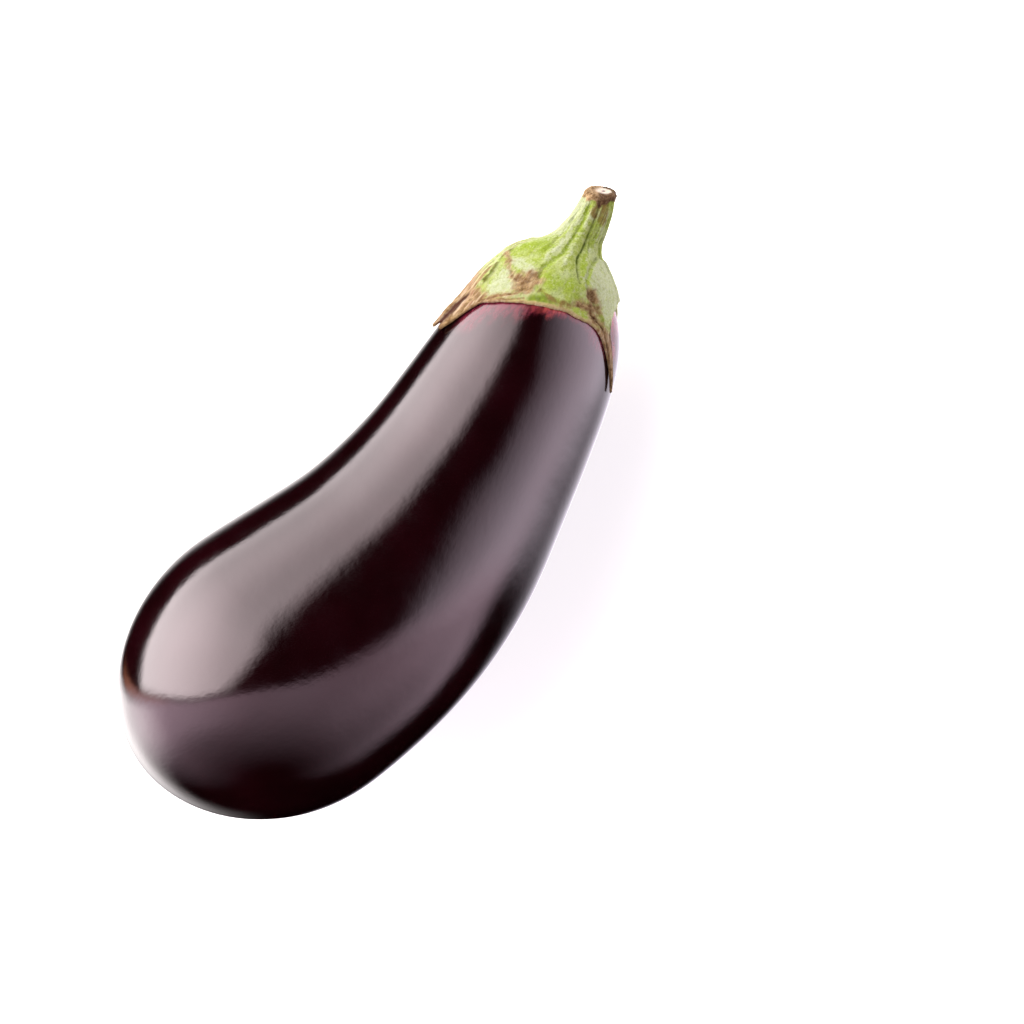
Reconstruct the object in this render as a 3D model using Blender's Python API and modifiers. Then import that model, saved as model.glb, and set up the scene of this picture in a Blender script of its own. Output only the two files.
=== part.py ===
"""Eggplant lying on its side: a solid fruit, a calyx of five joined sepals and a cut stem.

Row frame: metres, origin on the ground below the middle of the whole part, +Z up,
+X along the fruit from its blossom end to its stem.

Every shape is first made straight: `along` is the distance up the fruit's axis from the
blossom end, `left` and `up` are the distances from that axis. One function then bends the
straight shape onto the curved axis and lays it down, so fruit, calyx and stem stay in step.
An azimuth is the angle round the axis, 0 degrees at the top, growing away from `left`.
"""

import math

import bpy
import numpy as np
from mathutils import Matrix, Vector

MM = 0.001
GAP = 0.3
SLOPE_STEP = 0.01

FRUIT_LENGTH = 203.6
AXIS_HEADINGS = (
    (0.0, -14.7),
    (50.0, -14.8),
    (80.0, -9.3),
    (112.0, 4.4),
    (140.0, 10.3),
    (165.0, 11.9),
    (185.0, 14.6),
    (FRUIT_LENGTH, 17.8),
)
FRUIT_RADII = (
    (0.0, 44.7),
    (52.0, 44.7),
    (80.0, 42.4),
    (110.0, 37.7),
    (140.0, 32.3),
    (160.0, 30.4),
    (FRUIT_LENGTH, 34.4),
)
BLOSSOM_CAP_LENGTH = 54.6
SHOULDER_CAP_LENGTH = 57.6
BLOSSOM_SCAR_RADIUS = 4.2
BLOSSOM_SCAR_DEPTH = 0.5
BLOSSOM_SCAR_STEP = 0.6
OUT_OF_ROUND = 0.006
FRUIT_SIDES = 56
FRUIT_RINGS = 38

LYING_TILT = 8.0
FLAT_DEPTH = 1.2
CUTTER_SIZE = 260.0
CUTTER_HEIGHT = 30.0

CALYX_COLUMNS = 120
INNER_ROWS = 8
OUTER_ROWS = 10
INNER_ROW_CROWDING = 2.0
OUTER_ROW_CROWDING = 1.4
# Corners of the calyx edge: azimuth, station along the axis, and how hollow the edge is
# on its way to the next corner. Bays and sepal tips take turns.
CALYX_EDGE = (
    (-111.0, 189.0, 2.2),
    (-69.0, 165.0, 2.5),
    (12.0, 187.2, 3.5),
    (69.0, 173.5, 6.0),
    (99.0, 195.0, 2.0),
    (141.0, 171.0, 2.0),
    (177.0, 188.0, 2.0),
    (213.0, 168.0, 2.0),
    (249.0, 189.0, 2.2),
)
CALYX_EDGE_THICKNESS = 0.9
CALYX_CROWN_GAIN = 3.3
CALYX_RIGHT_THINNING = 0.4
THICKENING_START = 186.0
THICKENING_SPAN = 14.0
CROWN_STATION = 201.9
CROWN_TOP = 207.6
CROWN_SHIFT = 0.9
TIP_LIFT = 1.2
TIP_LIFT_SPAN = 22.0
RIDGE_AZIMUTHS = (-69.0, -13.0, 41.0, 141.0, 213.0)
RIDGE_HEIGHT = 0.8
RIDGE_HALF_WIDTH = 9.0
RIDGE_FULLNESS = 0.7

SOCKET_RADIUS = 7.2
SOCKET_RIM_WIDTH = 0.9
SOCKET_FLOOR = 1.4

STEM_COLUMNS = 60
STEM_ROWS = 12
STEM_RIBS = 10
STEM_RIB_AZIMUTH = 5.0
STEM_RIB_HEIGHT = 0.32
STEM_RIB_START = 0.25
STEM_FLARE_START = 208.1
STEM_CUT = 225.2
STEM_RADII = (
    (STEM_FLARE_START, 6.9),
    (210.5, 7.0),
    (212.5, 6.7),
    (215.5, 6.1),
    (219.5, 5.6),
    (223.0, 5.1),
    (226.0, 5.2),
)
STEM_SHIFTS = (
    (STEM_FLARE_START, CROWN_SHIFT),
    (211.0, 0.7),
    (215.5, -0.2),
    (219.5, -0.5),
    (226.0, -0.3),
)
CUT_SLOPE_LEFT = 0.24
CUT_SLOPE_UP = 0.29
CUT_HOLLOW = 0.5
CUT_RIM_FRACTION = 0.78


def smooth(table, x):
    """Value at x of a smooth curve through the table's points."""
    xs = np.array([row[0] for row in table])
    ys = np.array([row[1] for row in table])
    slopes = np.diff(ys) / np.diff(xs)
    tangents = np.concatenate([slopes[:1], (slopes[1:] + slopes[:-1]) / 2, slopes[-1:]])
    i = np.clip(np.searchsorted(xs, x) - 1, 0, len(xs) - 2)
    width = xs[i + 1] - xs[i]
    u = np.clip((x - xs[i]) / width, 0.0, 1.0)
    start = ys[i] * (1 + 2 * u) * (1 - u) ** 2 + tangents[i] * width * u * (1 - u) ** 2
    end = ys[i + 1] * u * u * (3 - 2 * u) + tangents[i + 1] * width * u * u * (u - 1)
    return start + end


def round_cap(t):
    """Quarter circle that rises from 0 to 1 while t goes from 0 to 1."""
    t = np.clip(t, 0.0, 1.0)
    return np.sqrt(1.0 - (1.0 - t) ** 2)


def fruit_radius(along):
    """Radius of the fruit at a station, closed roundly at both ends."""
    blossom = round_cap(along / BLOSSOM_CAP_LENGTH)
    shoulder = round_cap((FRUIT_LENGTH - along) / SHOULDER_CAP_LENGTH)
    return float(smooth(FRUIT_RADII, along) * blossom * shoulder)


def make_axis():
    """Stations every half millimetre with the place and heading of the curved axis."""
    stations = np.linspace(0.0, FRUIT_LENGTH, int(FRUIT_LENGTH * 2) + 1)
    headings = np.radians(smooth(AXIS_HEADINGS, stations))
    step = stations[1] - stations[0]
    forward = (np.cos(headings)[1:] + np.cos(headings)[:-1]) / 2 * step
    sideways = (np.sin(headings)[1:] + np.sin(headings)[:-1]) / 2 * step
    x = np.concatenate([[0.0], np.cumsum(forward)])
    y = np.concatenate([[0.0], np.cumsum(sideways)])
    return stations, x, y, headings


AXIS_STATIONS, AXIS_X, AXIS_Y, AXIS_HEADING = make_axis()
LAYING = Matrix.Rotation(math.radians(LYING_TILT), 3, "Y")


def bend(point):
    """Carry a point of the straight shape onto the curved axis and lower the neck."""
    left, up, along = point
    azimuth = math.atan2(-left, up)
    swell = 1.0 + OUT_OF_ROUND * math.cos(3.0 * azimuth)
    left *= swell
    up *= swell
    station = min(max(along, 0.0), FRUIT_LENGTH)
    beyond = along - station
    heading = float(np.interp(station, AXIS_STATIONS, AXIS_HEADING))
    x = float(np.interp(station, AXIS_STATIONS, AXIS_X))
    y = float(np.interp(station, AXIS_STATIONS, AXIS_Y))
    x += beyond * math.cos(heading) - left * math.sin(heading)
    y += beyond * math.sin(heading) + left * math.cos(heading)
    return LAYING @ Vector((x, y, up))


def around(radius, azimuth, along, shift=0.0):
    """Point of the straight shape at a radius, an azimuth in degrees and a station."""
    angle = math.radians(azimuth)
    return (shift - radius * math.sin(angle), radius * math.cos(angle), along)


def make_material(name, colour, roughness):
    """Plain Principled material."""
    material = bpy.data.materials.new(name)
    material.use_nodes = True
    shader = material.node_tree.nodes["Principled BSDF"]
    shader.inputs["Base Color"].default_value = (*colour, 1.0)
    shader.inputs["Roughness"].default_value = roughness
    return material


def add_object(name, mesh, collection, material):
    """Object with one material, shaded smooth."""
    mesh.materials.clear()
    mesh.materials.append(material)
    mesh.polygons.foreach_set("use_smooth", [True] * len(mesh.polygons))
    part = bpy.data.objects.new(name, mesh)
    collection.objects.link(part)
    return part


def bent_mesh(name, points, faces):
    """Mesh of straight points in millimetres, bent and turned into metres."""
    mesh = bpy.data.meshes.new(name)
    mesh.from_pydata([bend(point) * MM for point in points], [], faces)
    mesh.validate()
    return mesh


def loft(rings, first_pole, last_pole):
    """Faces and points of a closed skin: a pole, closed rings of equal count, a pole."""
    points = [first_pole]
    for ring in rings:
        points += ring
    points.append(last_pole)
    count = len(rings[0])
    faces = []
    for j in range(count):
        faces.append((0, 1 + (j + 1) % count, 1 + j))
    for i in range(len(rings) - 1):
        low = 1 + i * count
        high = low + count
        for j in range(count):
            k = (j + 1) % count
            faces.append((low + j, low + k, high + k, high + j))
    last = len(points) - 1
    low = 1 + (len(rings) - 1) * count
    for j in range(count):
        faces.append((low + j, low + (j + 1) % count, last))
    return points, faces


def fruit_profile():
    """Outline from the shoulder down to the blossom end, as (radius, station)."""
    outline = [(0.0, FRUIT_LENGTH)]
    for i in range(1, FRUIT_RINGS):
        station = FRUIT_LENGTH * (1.0 + math.cos(math.pi * i / FRUIT_RINGS)) / 2.0
        outline.append((fruit_radius(station), station))
    scar_rise = math.sqrt(1.0 - (BLOSSOM_SCAR_RADIUS / FRUIT_RADII[0][1]) ** 2)
    scar_station = BLOSSOM_CAP_LENGTH * (1.0 - scar_rise)
    scar_step = BLOSSOM_SCAR_DEPTH * BLOSSOM_SCAR_STEP
    outline.append((BLOSSOM_SCAR_RADIUS, scar_station))
    outline.append((BLOSSOM_SCAR_RADIUS * BLOSSOM_SCAR_STEP, scar_station + scar_step))
    outline.append((0.0, scar_station + BLOSSOM_SCAR_DEPTH))
    return outline


def build_fruit(collection, material):
    """Profile turned round the axis, then bent and laid down."""
    outline = fruit_profile()
    mesh = bpy.data.meshes.new("fruit_profile")
    edges = [(i, i + 1) for i in range(len(outline) - 1)]
    mesh.from_pydata([(radius, 0.0, along) for radius, along in outline], edges, [])
    profile = bpy.data.objects.new("fruit_profile", mesh)
    collection.objects.link(profile)
    screw = profile.modifiers.new("turn", "SCREW")
    screw.axis = "Z"
    screw.steps = FRUIT_SIDES
    screw.render_steps = FRUIT_SIDES
    screw.use_merge_vertices = True
    screw.merge_threshold = 1e-4
    screw.use_smooth_shade = True
    depsgraph = bpy.context.evaluated_depsgraph_get()
    turned = bpy.data.meshes.new_from_object(profile.evaluated_get(depsgraph))
    turned.name = "fruit"
    for vertex in turned.vertices:
        vertex.co = bend(vertex.co) * MM
    bpy.data.objects.remove(profile)
    return add_object("fruit", turned, collection, material)


def calyx_edge(azimuth):
    """Station of the calyx edge at an azimuth."""
    first = CALYX_EDGE[0][0]
    turned = first + (azimuth - first) % 360.0
    for corner, following in zip(CALYX_EDGE[:-1], CALYX_EDGE[1:]):
        if turned <= following[0]:
            break
    way = (turned - corner[0]) / (following[0] - corner[0])
    if corner[1] > following[1]:
        return corner[1] + (following[1] - corner[1]) * way ** corner[2]
    return following[1] + (corner[1] - following[1]) * (1.0 - way) ** corner[2]


def calyx_thickness(station, azimuth, way):
    """Thin at the edge, thick at the crown, with a ridge down each sepal."""
    gain = max(0.0, station - THICKENING_START) / THICKENING_SPAN
    thinning = 1.0 - CALYX_RIGHT_THINNING * max(0.0, math.sin(math.radians(azimuth)))
    body = CALYX_EDGE_THICKNESS + CALYX_CROWN_GAIN * thinning * gain ** 2
    ridge = 0.0
    for centre in RIDGE_AZIMUTHS:
        away = (azimuth - centre + 180.0) % 360.0 - 180.0
        ridge += math.exp(-((away / RIDGE_HALF_WIDTH) ** 2))
    return body + RIDGE_HEIGHT * ridge * math.sin(math.pi * way) ** RIDGE_FULLNESS


def off_the_skin(station, azimuth, distance, shift=0.0):
    """Point at a distance straight out from the fruit's skin."""
    rise = fruit_radius(station - SLOPE_STEP) - fruit_radius(station + SLOPE_STEP)
    run = 2.0 * SLOPE_STEP
    length = math.hypot(rise, run)
    radius = fruit_radius(station) + distance * run / length
    return around(radius, azimuth, station + distance * rise / length, shift)


def skin_clearance(station):
    """Gap between the skin and the calyx, which opens towards the sepal tips."""
    reach = max(0.0, THICKENING_START - station) / TIP_LIFT_SPAN
    return GAP + TIP_LIFT * reach ** 2


def build_calyx(collection, material):
    """Cup that follows the shoulder of the fruit, with a round socket for the stem."""
    azimuths = [360.0 * j / CALYX_COLUMNS for j in range(CALYX_COLUMNS)]
    rings = []
    for i in range(1, INNER_ROWS + 1):
        way = i / INNER_ROWS
        ring = []
        for azimuth in azimuths:
            drop = (FRUIT_LENGTH - calyx_edge(azimuth)) * way ** INNER_ROW_CROWDING
            station = FRUIT_LENGTH - drop
            ring.append(off_the_skin(station, azimuth, skin_clearance(station)))
        rings.append(ring)
    for i in range(OUTER_ROWS, -1, -1):
        way = i / OUTER_ROWS
        ring = []
        for azimuth in azimuths:
            drop = (CROWN_STATION - calyx_edge(azimuth)) * way ** OUTER_ROW_CROWDING
            station = CROWN_STATION - drop
            thickness = calyx_thickness(station, azimuth, way)
            distance = skin_clearance(station) + thickness
            shift = CROWN_SHIFT * (1.0 - way) ** 2
            ring.append(off_the_skin(station, azimuth, distance, shift))
        rings.append(ring)
    floor = FRUIT_LENGTH + GAP + SOCKET_FLOOR
    rim = SOCKET_RADIUS + SOCKET_RIM_WIDTH
    for radius, along in ((rim, CROWN_TOP), (SOCKET_RADIUS, CROWN_TOP), (SOCKET_RADIUS, floor)):
        rings.append([around(radius, azimuth, along, CROWN_SHIFT) for azimuth in azimuths])
    inner_pole = (0.0, 0.0, FRUIT_LENGTH + GAP)
    socket_pole = (CROWN_SHIFT, 0.0, floor)
    points, faces = loft(rings, inner_pole, socket_pole)
    return add_object("calyx", bent_mesh("calyx", points, faces), collection, material)


def stem_cut(azimuth, radius, shift):
    """Station of the slanting cut at a point of the stem's end."""
    left, up, _ = around(radius, azimuth, 0.0, shift)
    return STEM_CUT - CUT_SLOPE_LEFT * left - CUT_SLOPE_UP * up


def build_stem(collection, material):
    """Plain round root in the socket, then a ribbed stem that narrows to its cut."""
    azimuths = [360.0 * j / STEM_COLUMNS for j in range(STEM_COLUMNS)]
    bottom = FRUIT_LENGTH + GAP + SOCKET_FLOOR + GAP
    root = SOCKET_RADIUS - GAP
    rings = [[around(root, azimuth, bottom, CROWN_SHIFT) for azimuth in azimuths]]
    for i in range(STEM_ROWS + 1):
        way = i / STEM_ROWS
        ring = []
        for azimuth in azimuths:
            end = stem_cut(azimuth, STEM_RADII[-1][1], STEM_SHIFTS[-1][1])
            along = STEM_FLARE_START + (end - STEM_FLARE_START) * way
            phase = math.radians(STEM_RIBS * (azimuth - STEM_RIB_AZIMUTH))
            rib = STEM_RIB_HEIGHT * math.cos(phase) * min(1.0, way / STEM_RIB_START)
            radius = float(smooth(STEM_RADII, along)) + rib
            shift = float(smooth(STEM_SHIFTS, along))
            ring.append(around(radius, azimuth, along, shift))
        rings.append(ring)
    shift = STEM_SHIFTS[-1][1]
    inner = STEM_RADII[-1][1] * CUT_RIM_FRACTION
    ring = []
    for azimuth in azimuths:
        ring.append(around(inner, azimuth, stem_cut(azimuth, inner, shift), shift))
    rings.append(ring)
    first_pole = (CROWN_SHIFT, 0.0, bottom)
    last_pole = (shift, 0.0, stem_cut(0.0, 0.0, shift) - CUT_HOLLOW)
    points, faces = loft(rings, first_pole, last_pole)
    return add_object("stem", bent_mesh("stem", points, faces), collection, material)


def extent(parts, axis):
    """Smallest and largest coordinate of the parts' points along one axis."""
    values = [vertex.co[axis] for part in parts for vertex in part.data.vertices]
    return min(values), max(values)


def set_down(parts):
    """Centre the parts over the origin and sink the fruit into the ground by the flat."""
    low_x, high_x = extent(parts, 0)
    low_y, high_y = extent(parts, 1)
    ground = extent(parts[:1], 2)[0] + FLAT_DEPTH * MM
    shift = Vector((-(low_x + high_x) / 2, -(low_y + high_y) / 2, -ground))
    for part in parts:
        for vertex in part.data.vertices:
            vertex.co += shift


def cut_flat(fruit, cutters):
    """Take away what lies under the ground, which leaves a small flat to rest on."""
    bpy.ops.mesh.primitive_cube_add(size=1.0)
    cutter = bpy.context.object
    cutter.name = "ground_cutter"
    size = Vector((CUTTER_SIZE, CUTTER_SIZE, CUTTER_HEIGHT)) * MM
    for vertex in cutter.data.vertices:
        vertex.co = Vector((vertex.co.x * size.x, vertex.co.y * size.y, vertex.co.z * size.z))
        vertex.co.z -= size.z / 2
    for collection in cutter.users_collection:
        collection.objects.unlink(cutter)
    cutters.objects.link(cutter)
    cutter.hide_render = True
    cutter.display_type = "WIRE"
    cut = fruit.modifiers.new("flat", "BOOLEAN")
    cut.operation = "DIFFERENCE"
    cut.solver = "EXACT"
    cut.object = cutter


def main():
    for leftover in list(bpy.data.objects):
        bpy.data.objects.remove(leftover)
    eggplant = bpy.data.collections.new("eggplant")
    cutters = bpy.data.collections.new("cutters")
    bpy.context.scene.collection.children.link(eggplant)
    bpy.context.scene.collection.children.link(cutters)
    fruit = build_fruit(eggplant, make_material("skin", (0.012, 0.001, 0.005), 0.12))
    calyx = build_calyx(eggplant, make_material("sepal", (0.36, 0.45, 0.12), 0.6))
    stem = build_stem(eggplant, make_material("stalk", (0.38, 0.50, 0.13), 0.6))
    set_down([fruit, calyx, stem])
    cut_flat(fruit, cutters)
    for part in (calyx, stem):
        low, high = extent([part], 2)
        print(f"{part.name}: {low / MM:.1f} to {high / MM:.1f} mm above the ground")


main()
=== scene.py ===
# %% [markdown]
# # An eggplant, lying on its side
# The fruit is one berry with a thin, waxy, almost black skin. A green calyx of five joined
# sepals caps its shoulder, and the cut stem grows out of the calyx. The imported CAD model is
# loaded first and stays as it is. Every piece below is built round it, in the same metres.

# %% Load the frame
import functools
import itertools
import math

import bpy
import numpy as np
from mathutils import Matrix, Vector


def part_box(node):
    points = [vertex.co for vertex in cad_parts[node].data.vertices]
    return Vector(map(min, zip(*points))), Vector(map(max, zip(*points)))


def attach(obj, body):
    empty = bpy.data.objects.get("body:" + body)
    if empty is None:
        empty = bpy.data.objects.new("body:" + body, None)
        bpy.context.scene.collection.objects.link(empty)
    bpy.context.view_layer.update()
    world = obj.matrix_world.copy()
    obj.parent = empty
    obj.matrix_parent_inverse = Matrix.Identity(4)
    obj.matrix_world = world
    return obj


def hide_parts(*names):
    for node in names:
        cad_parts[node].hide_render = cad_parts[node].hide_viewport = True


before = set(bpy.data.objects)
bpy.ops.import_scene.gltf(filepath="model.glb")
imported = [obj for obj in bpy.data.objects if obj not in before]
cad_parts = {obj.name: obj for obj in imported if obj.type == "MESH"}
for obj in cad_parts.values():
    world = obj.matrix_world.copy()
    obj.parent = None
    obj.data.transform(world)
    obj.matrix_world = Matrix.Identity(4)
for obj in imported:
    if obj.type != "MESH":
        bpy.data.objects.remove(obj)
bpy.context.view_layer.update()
MM = 0.001

# %% [markdown]
# ## The straight shape and the bent one
# An eggplant is easiest to think of as a straight turned body with a slightly curved axis.
# `along` is the distance in millimetres up the axis from the blossom end, `left` and `up` are
# the distances from that axis, and an azimuth is the angle round it, 0 degrees at the top and
# growing away from `left`. The same numbers as in the CAD source are used here, so that the
# pieces lie exactly on it. One could bend a finished mesh with a Curve modifier instead, but a
# plain function keeps fruit, calyx and stem in step and can be read backwards.

# %% Outline and axis of the fruit
FRUIT_LENGTH = 203.6
AXIS_HEADINGS = (
    (0.0, -14.7), (50.0, -14.8), (80.0, -9.3), (112.0, 4.4), (140.0, 10.3), (165.0, 11.9),
    (185.0, 14.6), (FRUIT_LENGTH, 17.8),
)
FRUIT_RADII = (
    (0.0, 44.7), (52.0, 44.7), (80.0, 42.4), (110.0, 37.7), (140.0, 32.3), (160.0, 30.4),
    (FRUIT_LENGTH, 34.4),
)
BLOSSOM_CAP_LENGTH = 54.6
SHOULDER_CAP_LENGTH = 57.6
OUT_OF_ROUND = 0.006
LYING_TILT = math.radians(8.0)


def smooth(table, x):
    """Value at x of a smooth curve through the table's points."""
    xs = np.array([row[0] for row in table], float)
    ys = np.array([row[1] for row in table], float)
    slopes = np.diff(ys) / np.diff(xs)
    tangents = np.concatenate([slopes[:1], (slopes[1:] + slopes[:-1]) / 2, slopes[-1:]])
    i = np.clip(np.searchsorted(xs, x) - 1, 0, len(xs) - 2)
    width = xs[i + 1] - xs[i]
    u = np.clip((x - xs[i]) / width, 0.0, 1.0)
    start = ys[i] * (1 + 2 * u) * (1 - u) ** 2 + tangents[i] * width * u * (1 - u) ** 2
    end = ys[i + 1] * u * u * (3 - 2 * u) + tangents[i + 1] * width * u * u * (u - 1)
    return start + end


def round_cap(t):
    """Quarter circle that rises from 0 to 1 while t goes from 0 to 1."""
    t = np.clip(t, 0.0, 1.0)
    return np.sqrt(1.0 - (1.0 - t) ** 2)


def faired(values, spread):
    """Values with their small kinks ironed out. Both ends keep their value."""
    reach = int(3 * spread)
    weights = np.exp(-0.5 * (np.arange(-reach, reach + 1) / spread) ** 2)
    before = 2 * values[0] - values[reach:0:-1]
    after = 2 * values[-1] - values[-2:-2 - reach:-1]
    padded = np.concatenate([before, values, after])
    return np.convolve(padded, weights / weights.sum(), "valid")


print("radius at 100 mm:", smooth(FRUIT_RADII, 100.0).round(1), "mm")

# %% Radius and heading at every station
STATION_COUNT = 815
FAIRING = 16
STATIONS = np.linspace(0.0, FRUIT_LENGTH, STATION_COUNT)
blossom_cap = round_cap(STATIONS / BLOSSOM_CAP_LENGTH)
shoulder_cap = round_cap((FRUIT_LENGTH - STATIONS) / SHOULDER_CAP_LENGTH)
RADIUS_SQUARED = faired((smooth(FRUIT_RADII, STATIONS) * blossom_cap * shoulder_cap) ** 2, FAIRING)
HEADINGS = faired(np.radians(smooth(AXIS_HEADINGS, STATIONS)), FAIRING)


def fruit_radius(station):
    """Radius of the fruit at a station. The square is read, as it is straight at the ends."""
    return np.sqrt(np.maximum(np.interp(station, STATIONS, RADIUS_SQUARED), 0.0))


def summed(values):
    """Running total of values over the stations, by the trapezium rule."""
    steps = (values[1:] + values[:-1]) / 2 * np.diff(STATIONS)
    return np.concatenate([[0.0], np.cumsum(steps)])


AXIS_X = summed(np.cos(HEADINGS))
AXIS_Y = summed(np.sin(HEADINGS))
print("widest radius", round(float(fruit_radius(STATIONS).max()), 1), "mm")

# %% Carry straight points into the frame
LAYING = np.array(Matrix.Rotation(LYING_TILT, 3, "Y"))


def around(radius, azimuth, along, shift=0.0):
    """Straight points at a radius, an azimuth in degrees and a station."""
    angle = np.radians(azimuth)
    left, up, along = np.broadcast_arrays(
        shift - radius * np.sin(angle), radius * np.cos(angle), along
    )
    return np.stack([left, up, along], axis=-1)


def bend(points):
    """Straight points carried onto the curved axis and laid down, still in millimetres."""
    left, up, along = np.moveaxis(np.asarray(points, float), -1, 0)
    swell = 1.0 + OUT_OF_ROUND * np.cos(3.0 * np.arctan2(-left, up))
    station = np.clip(along, 0.0, FRUIT_LENGTH)
    beyond = along - station
    heading = np.interp(station, STATIONS, HEADINGS)
    x = np.interp(station, STATIONS, AXIS_X)
    y = np.interp(station, STATIONS, AXIS_Y)
    x = x + beyond * np.cos(heading) - left * swell * np.sin(heading)
    y = y + beyond * np.sin(heading) + left * swell * np.cos(heading)
    return np.stack([x, y, up * swell], axis=-1) @ LAYING.T


def set_down():
    """Shift in metres that brings the bent fruit onto the CAD fruit."""
    turns = np.linspace(0.0, 360.0, 180, endpoint=False)
    skin = around(fruit_radius(STATIONS)[:, None], turns[None, :], STATIONS[:, None])
    skin = bend(skin).reshape(-1, 3) * MM
    low, high = (np.array(corner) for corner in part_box("fruit"))
    middle = (low + high - skin.min(0) - skin.max(0)) / 2
    return np.array([middle[0], middle[1], high[2] - skin[:, 2].max()])


SET_DOWN = set_down()


def to_frame(points):
    """Straight points in millimetres as points of the frame in metres."""
    return bend(points) * MM + SET_DOWN


print("set down by", np.round(SET_DOWN / MM, 2), "mm")

# %% [markdown]
# ## Helpers for node trees and random relief
# Node trees are long to write out, so one helper makes a node, sets its options and fills its
# inputs. Random relief on the meshes comes from a small noise function with fixed seeds, which
# gives the same bumps on every run.

# %% Helpers for node trees


def add_node(tree, kind, inputs=None, **settings):
    """New node with its settings made and its inputs set or linked."""
    made = tree.nodes.new(kind)
    for name, value in settings.items():
        setattr(made, name, value)
    for key, value in (inputs or {}).items():
        if isinstance(value, bpy.types.NodeSocket):
            tree.links.new(value, made.inputs[key])
        else:
            made.inputs[key].default_value = value
    return made


def math_node(tree, operation, a, b=0.0, c=0.0):
    """Output of a Math node. The third value is only used by MULTIPLY_ADD."""
    values = {0: a, 1: b, 2: c}
    return add_node(tree, "ShaderNodeMath", values, operation=operation).outputs[0]


def total_of(tree, *values):
    """Sum of several outputs or numbers."""
    return functools.reduce(functools.partial(math_node, tree, "ADD"), values)


def product_of(tree, *values):
    """Product of several outputs or numbers."""
    return functools.reduce(functools.partial(math_node, tree, "MULTIPLY"), values)


def ramp_up(tree, value, start, end, low=0.0, high=1.0):
    """Smooth step from low to high while value goes from start to end."""
    values = {"Value": value, "From Min": start, "From Max": end, "To Min": low, "To Max": high}
    return add_node(
        tree, "ShaderNodeMapRange", values, interpolation_type="SMOOTHSTEP"
    ).outputs["Result"]


def mix_colours(tree, share, first, second, blend="MIX"):
    """Colour between two colours."""
    values = {"Factor": share, 6: first, 7: second}
    return add_node(
        tree, "ShaderNodeMix", values, data_type="RGBA", blend_type=blend
    ).outputs[2]


# %% Random relief and soft steps


def noise(points, size, seed):
    """Smooth random values between -1 and 1 that change over about `size`."""
    place = np.asarray(points, float) / size + 13.7 * seed
    cell = np.floor(place).astype(np.int64)
    part = place - cell
    part = part * part * part * (part * (part * 6 - 15) + 10)
    total = np.zeros(place.shape[:-1])
    for corner in itertools.product((0, 1), repeat=3):
        at = cell + np.array(corner)
        mixed = at[..., 0] * 73856093 ^ at[..., 1] * 19349663 ^ at[..., 2] * 83492791
        mixed = (mixed ^ (mixed >> 13) ^ (seed * 7919)) * 1274126177 & 0xFFFFFFFF
        mixed = ((mixed ^ (mixed >> 15)) * 2246822519 & 0xFFFFFFFF) >> 12
        weight = np.prod(np.where(np.array(corner) == 1, part, 1 - part), axis=-1)
        total += (mixed / 0xFFFFF * 2 - 1) * weight
    return total


def step_between(value, start, end):
    """0 at start, 1 at end, smooth in between. Start may be above end."""
    t = np.clip((value - start) / (end - start), 0.0, 1.0)
    return t * t * (3 - 2 * t)


def window(value, rise_start, rise_end, fall_start, fall_end):
    """1 between a soft rise and a soft fall."""
    return step_between(value, rise_start, rise_end) * step_between(value, fall_end, fall_start)


print("noise at one place:", noise([[1.0, 2.0, 3.0]], 1.3, 5).round(3))

# %% Numbers stored on a mesh


def store(mesh, name, values):
    """Put one number or one vector for each point of the mesh."""
    values = np.asarray(values, np.float32)
    kind = "FLOAT_VECTOR" if values.ndim == 2 else "FLOAT"
    layer = mesh.attributes.get(name) or mesh.attributes.new(name, kind, "POINT")
    layer.data.foreach_set("vector" if values.ndim == 2 else "value", values.ravel())


def points_of(mesh):
    """The mesh's points as an array."""
    flat = np.zeros(len(mesh.vertices) * 3, np.float32)
    mesh.vertices.foreach_get("co", flat)
    return flat.reshape(-1, 3).astype(float)


def read_numbers(mesh, name):
    """A stored number for each point of the mesh."""
    flat = np.zeros(len(mesh.vertices), np.float32)
    mesh.attributes[name].data.foreach_get("value", flat)
    return flat.astype(float)


# %% [markdown]
# ## The edge of the calyx
# Where the calyx ends, the skin below it is pink, because the sun never reached it. So the edge
# is needed twice: for the calyx itself and for the colour of the skin. It is a table of azimuth
# and station, with five sepal tips and five bays, one bay almost filled by the short front
# sepal. The left tip is split, and the right one hangs down as a thin tail.

# %% Edge of the calyx
EDGE = (
    (-111.0, 189.0), (-101.0, 185.0), (-93.0, 178.0), (-87.5, 171.0), (-83.5, 166.8),
    (-80.0, 165.8), (-77.0, 166.6), (-74.0, 168.0), (-71.5, 168.6), (-69.0, 167.6),
    (-67.0, 166.2), (-65.0, 166.0), (-62.5, 167.6), (-59.5, 170.1), (-56.0, 173.0), (-51.0, 177.0),
    (-46.0, 179.2), (-40.0, 180.7), (-34.0, 181.9), (-20.0, 184.1), (-10.0, 185.4),
    (0.0, 186.3), (9.0, 187.0), (22.0, 187.2), (33.0, 186.9), (39.0, 186.2), (43.0, 184.6),
    (46.5, 180.6), (48.8, 176.2), (50.6, 172.6), (52.0, 176.6), (53.4, 181.4), (54.8, 186.6),
    (57.0, 190.4), (61.0, 192.2), (68.0, 193.4), (76.0, 194.4), (90.0, 195.6), (99.0, 195.4),
    (110.0, 191.5), (122.0, 183.5), (134.0, 174.5), (141.0, 171.0), (147.0, 173.5),
    (156.0, 181.5), (166.0, 186.5), (177.0, 188.0), (187.0, 185.5), (198.0, 178.5),
    (207.0, 170.5), (213.0, 168.0), (219.0, 171.0), (228.0, 179.0), (238.0, 186.5),
    (249.0, 189.0),
)
EDGE_RAGGEDNESS = 0.45
CALM_MIDDLE = 5.0
CALM_WIDTHS = (50.0, 40.0)
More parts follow.
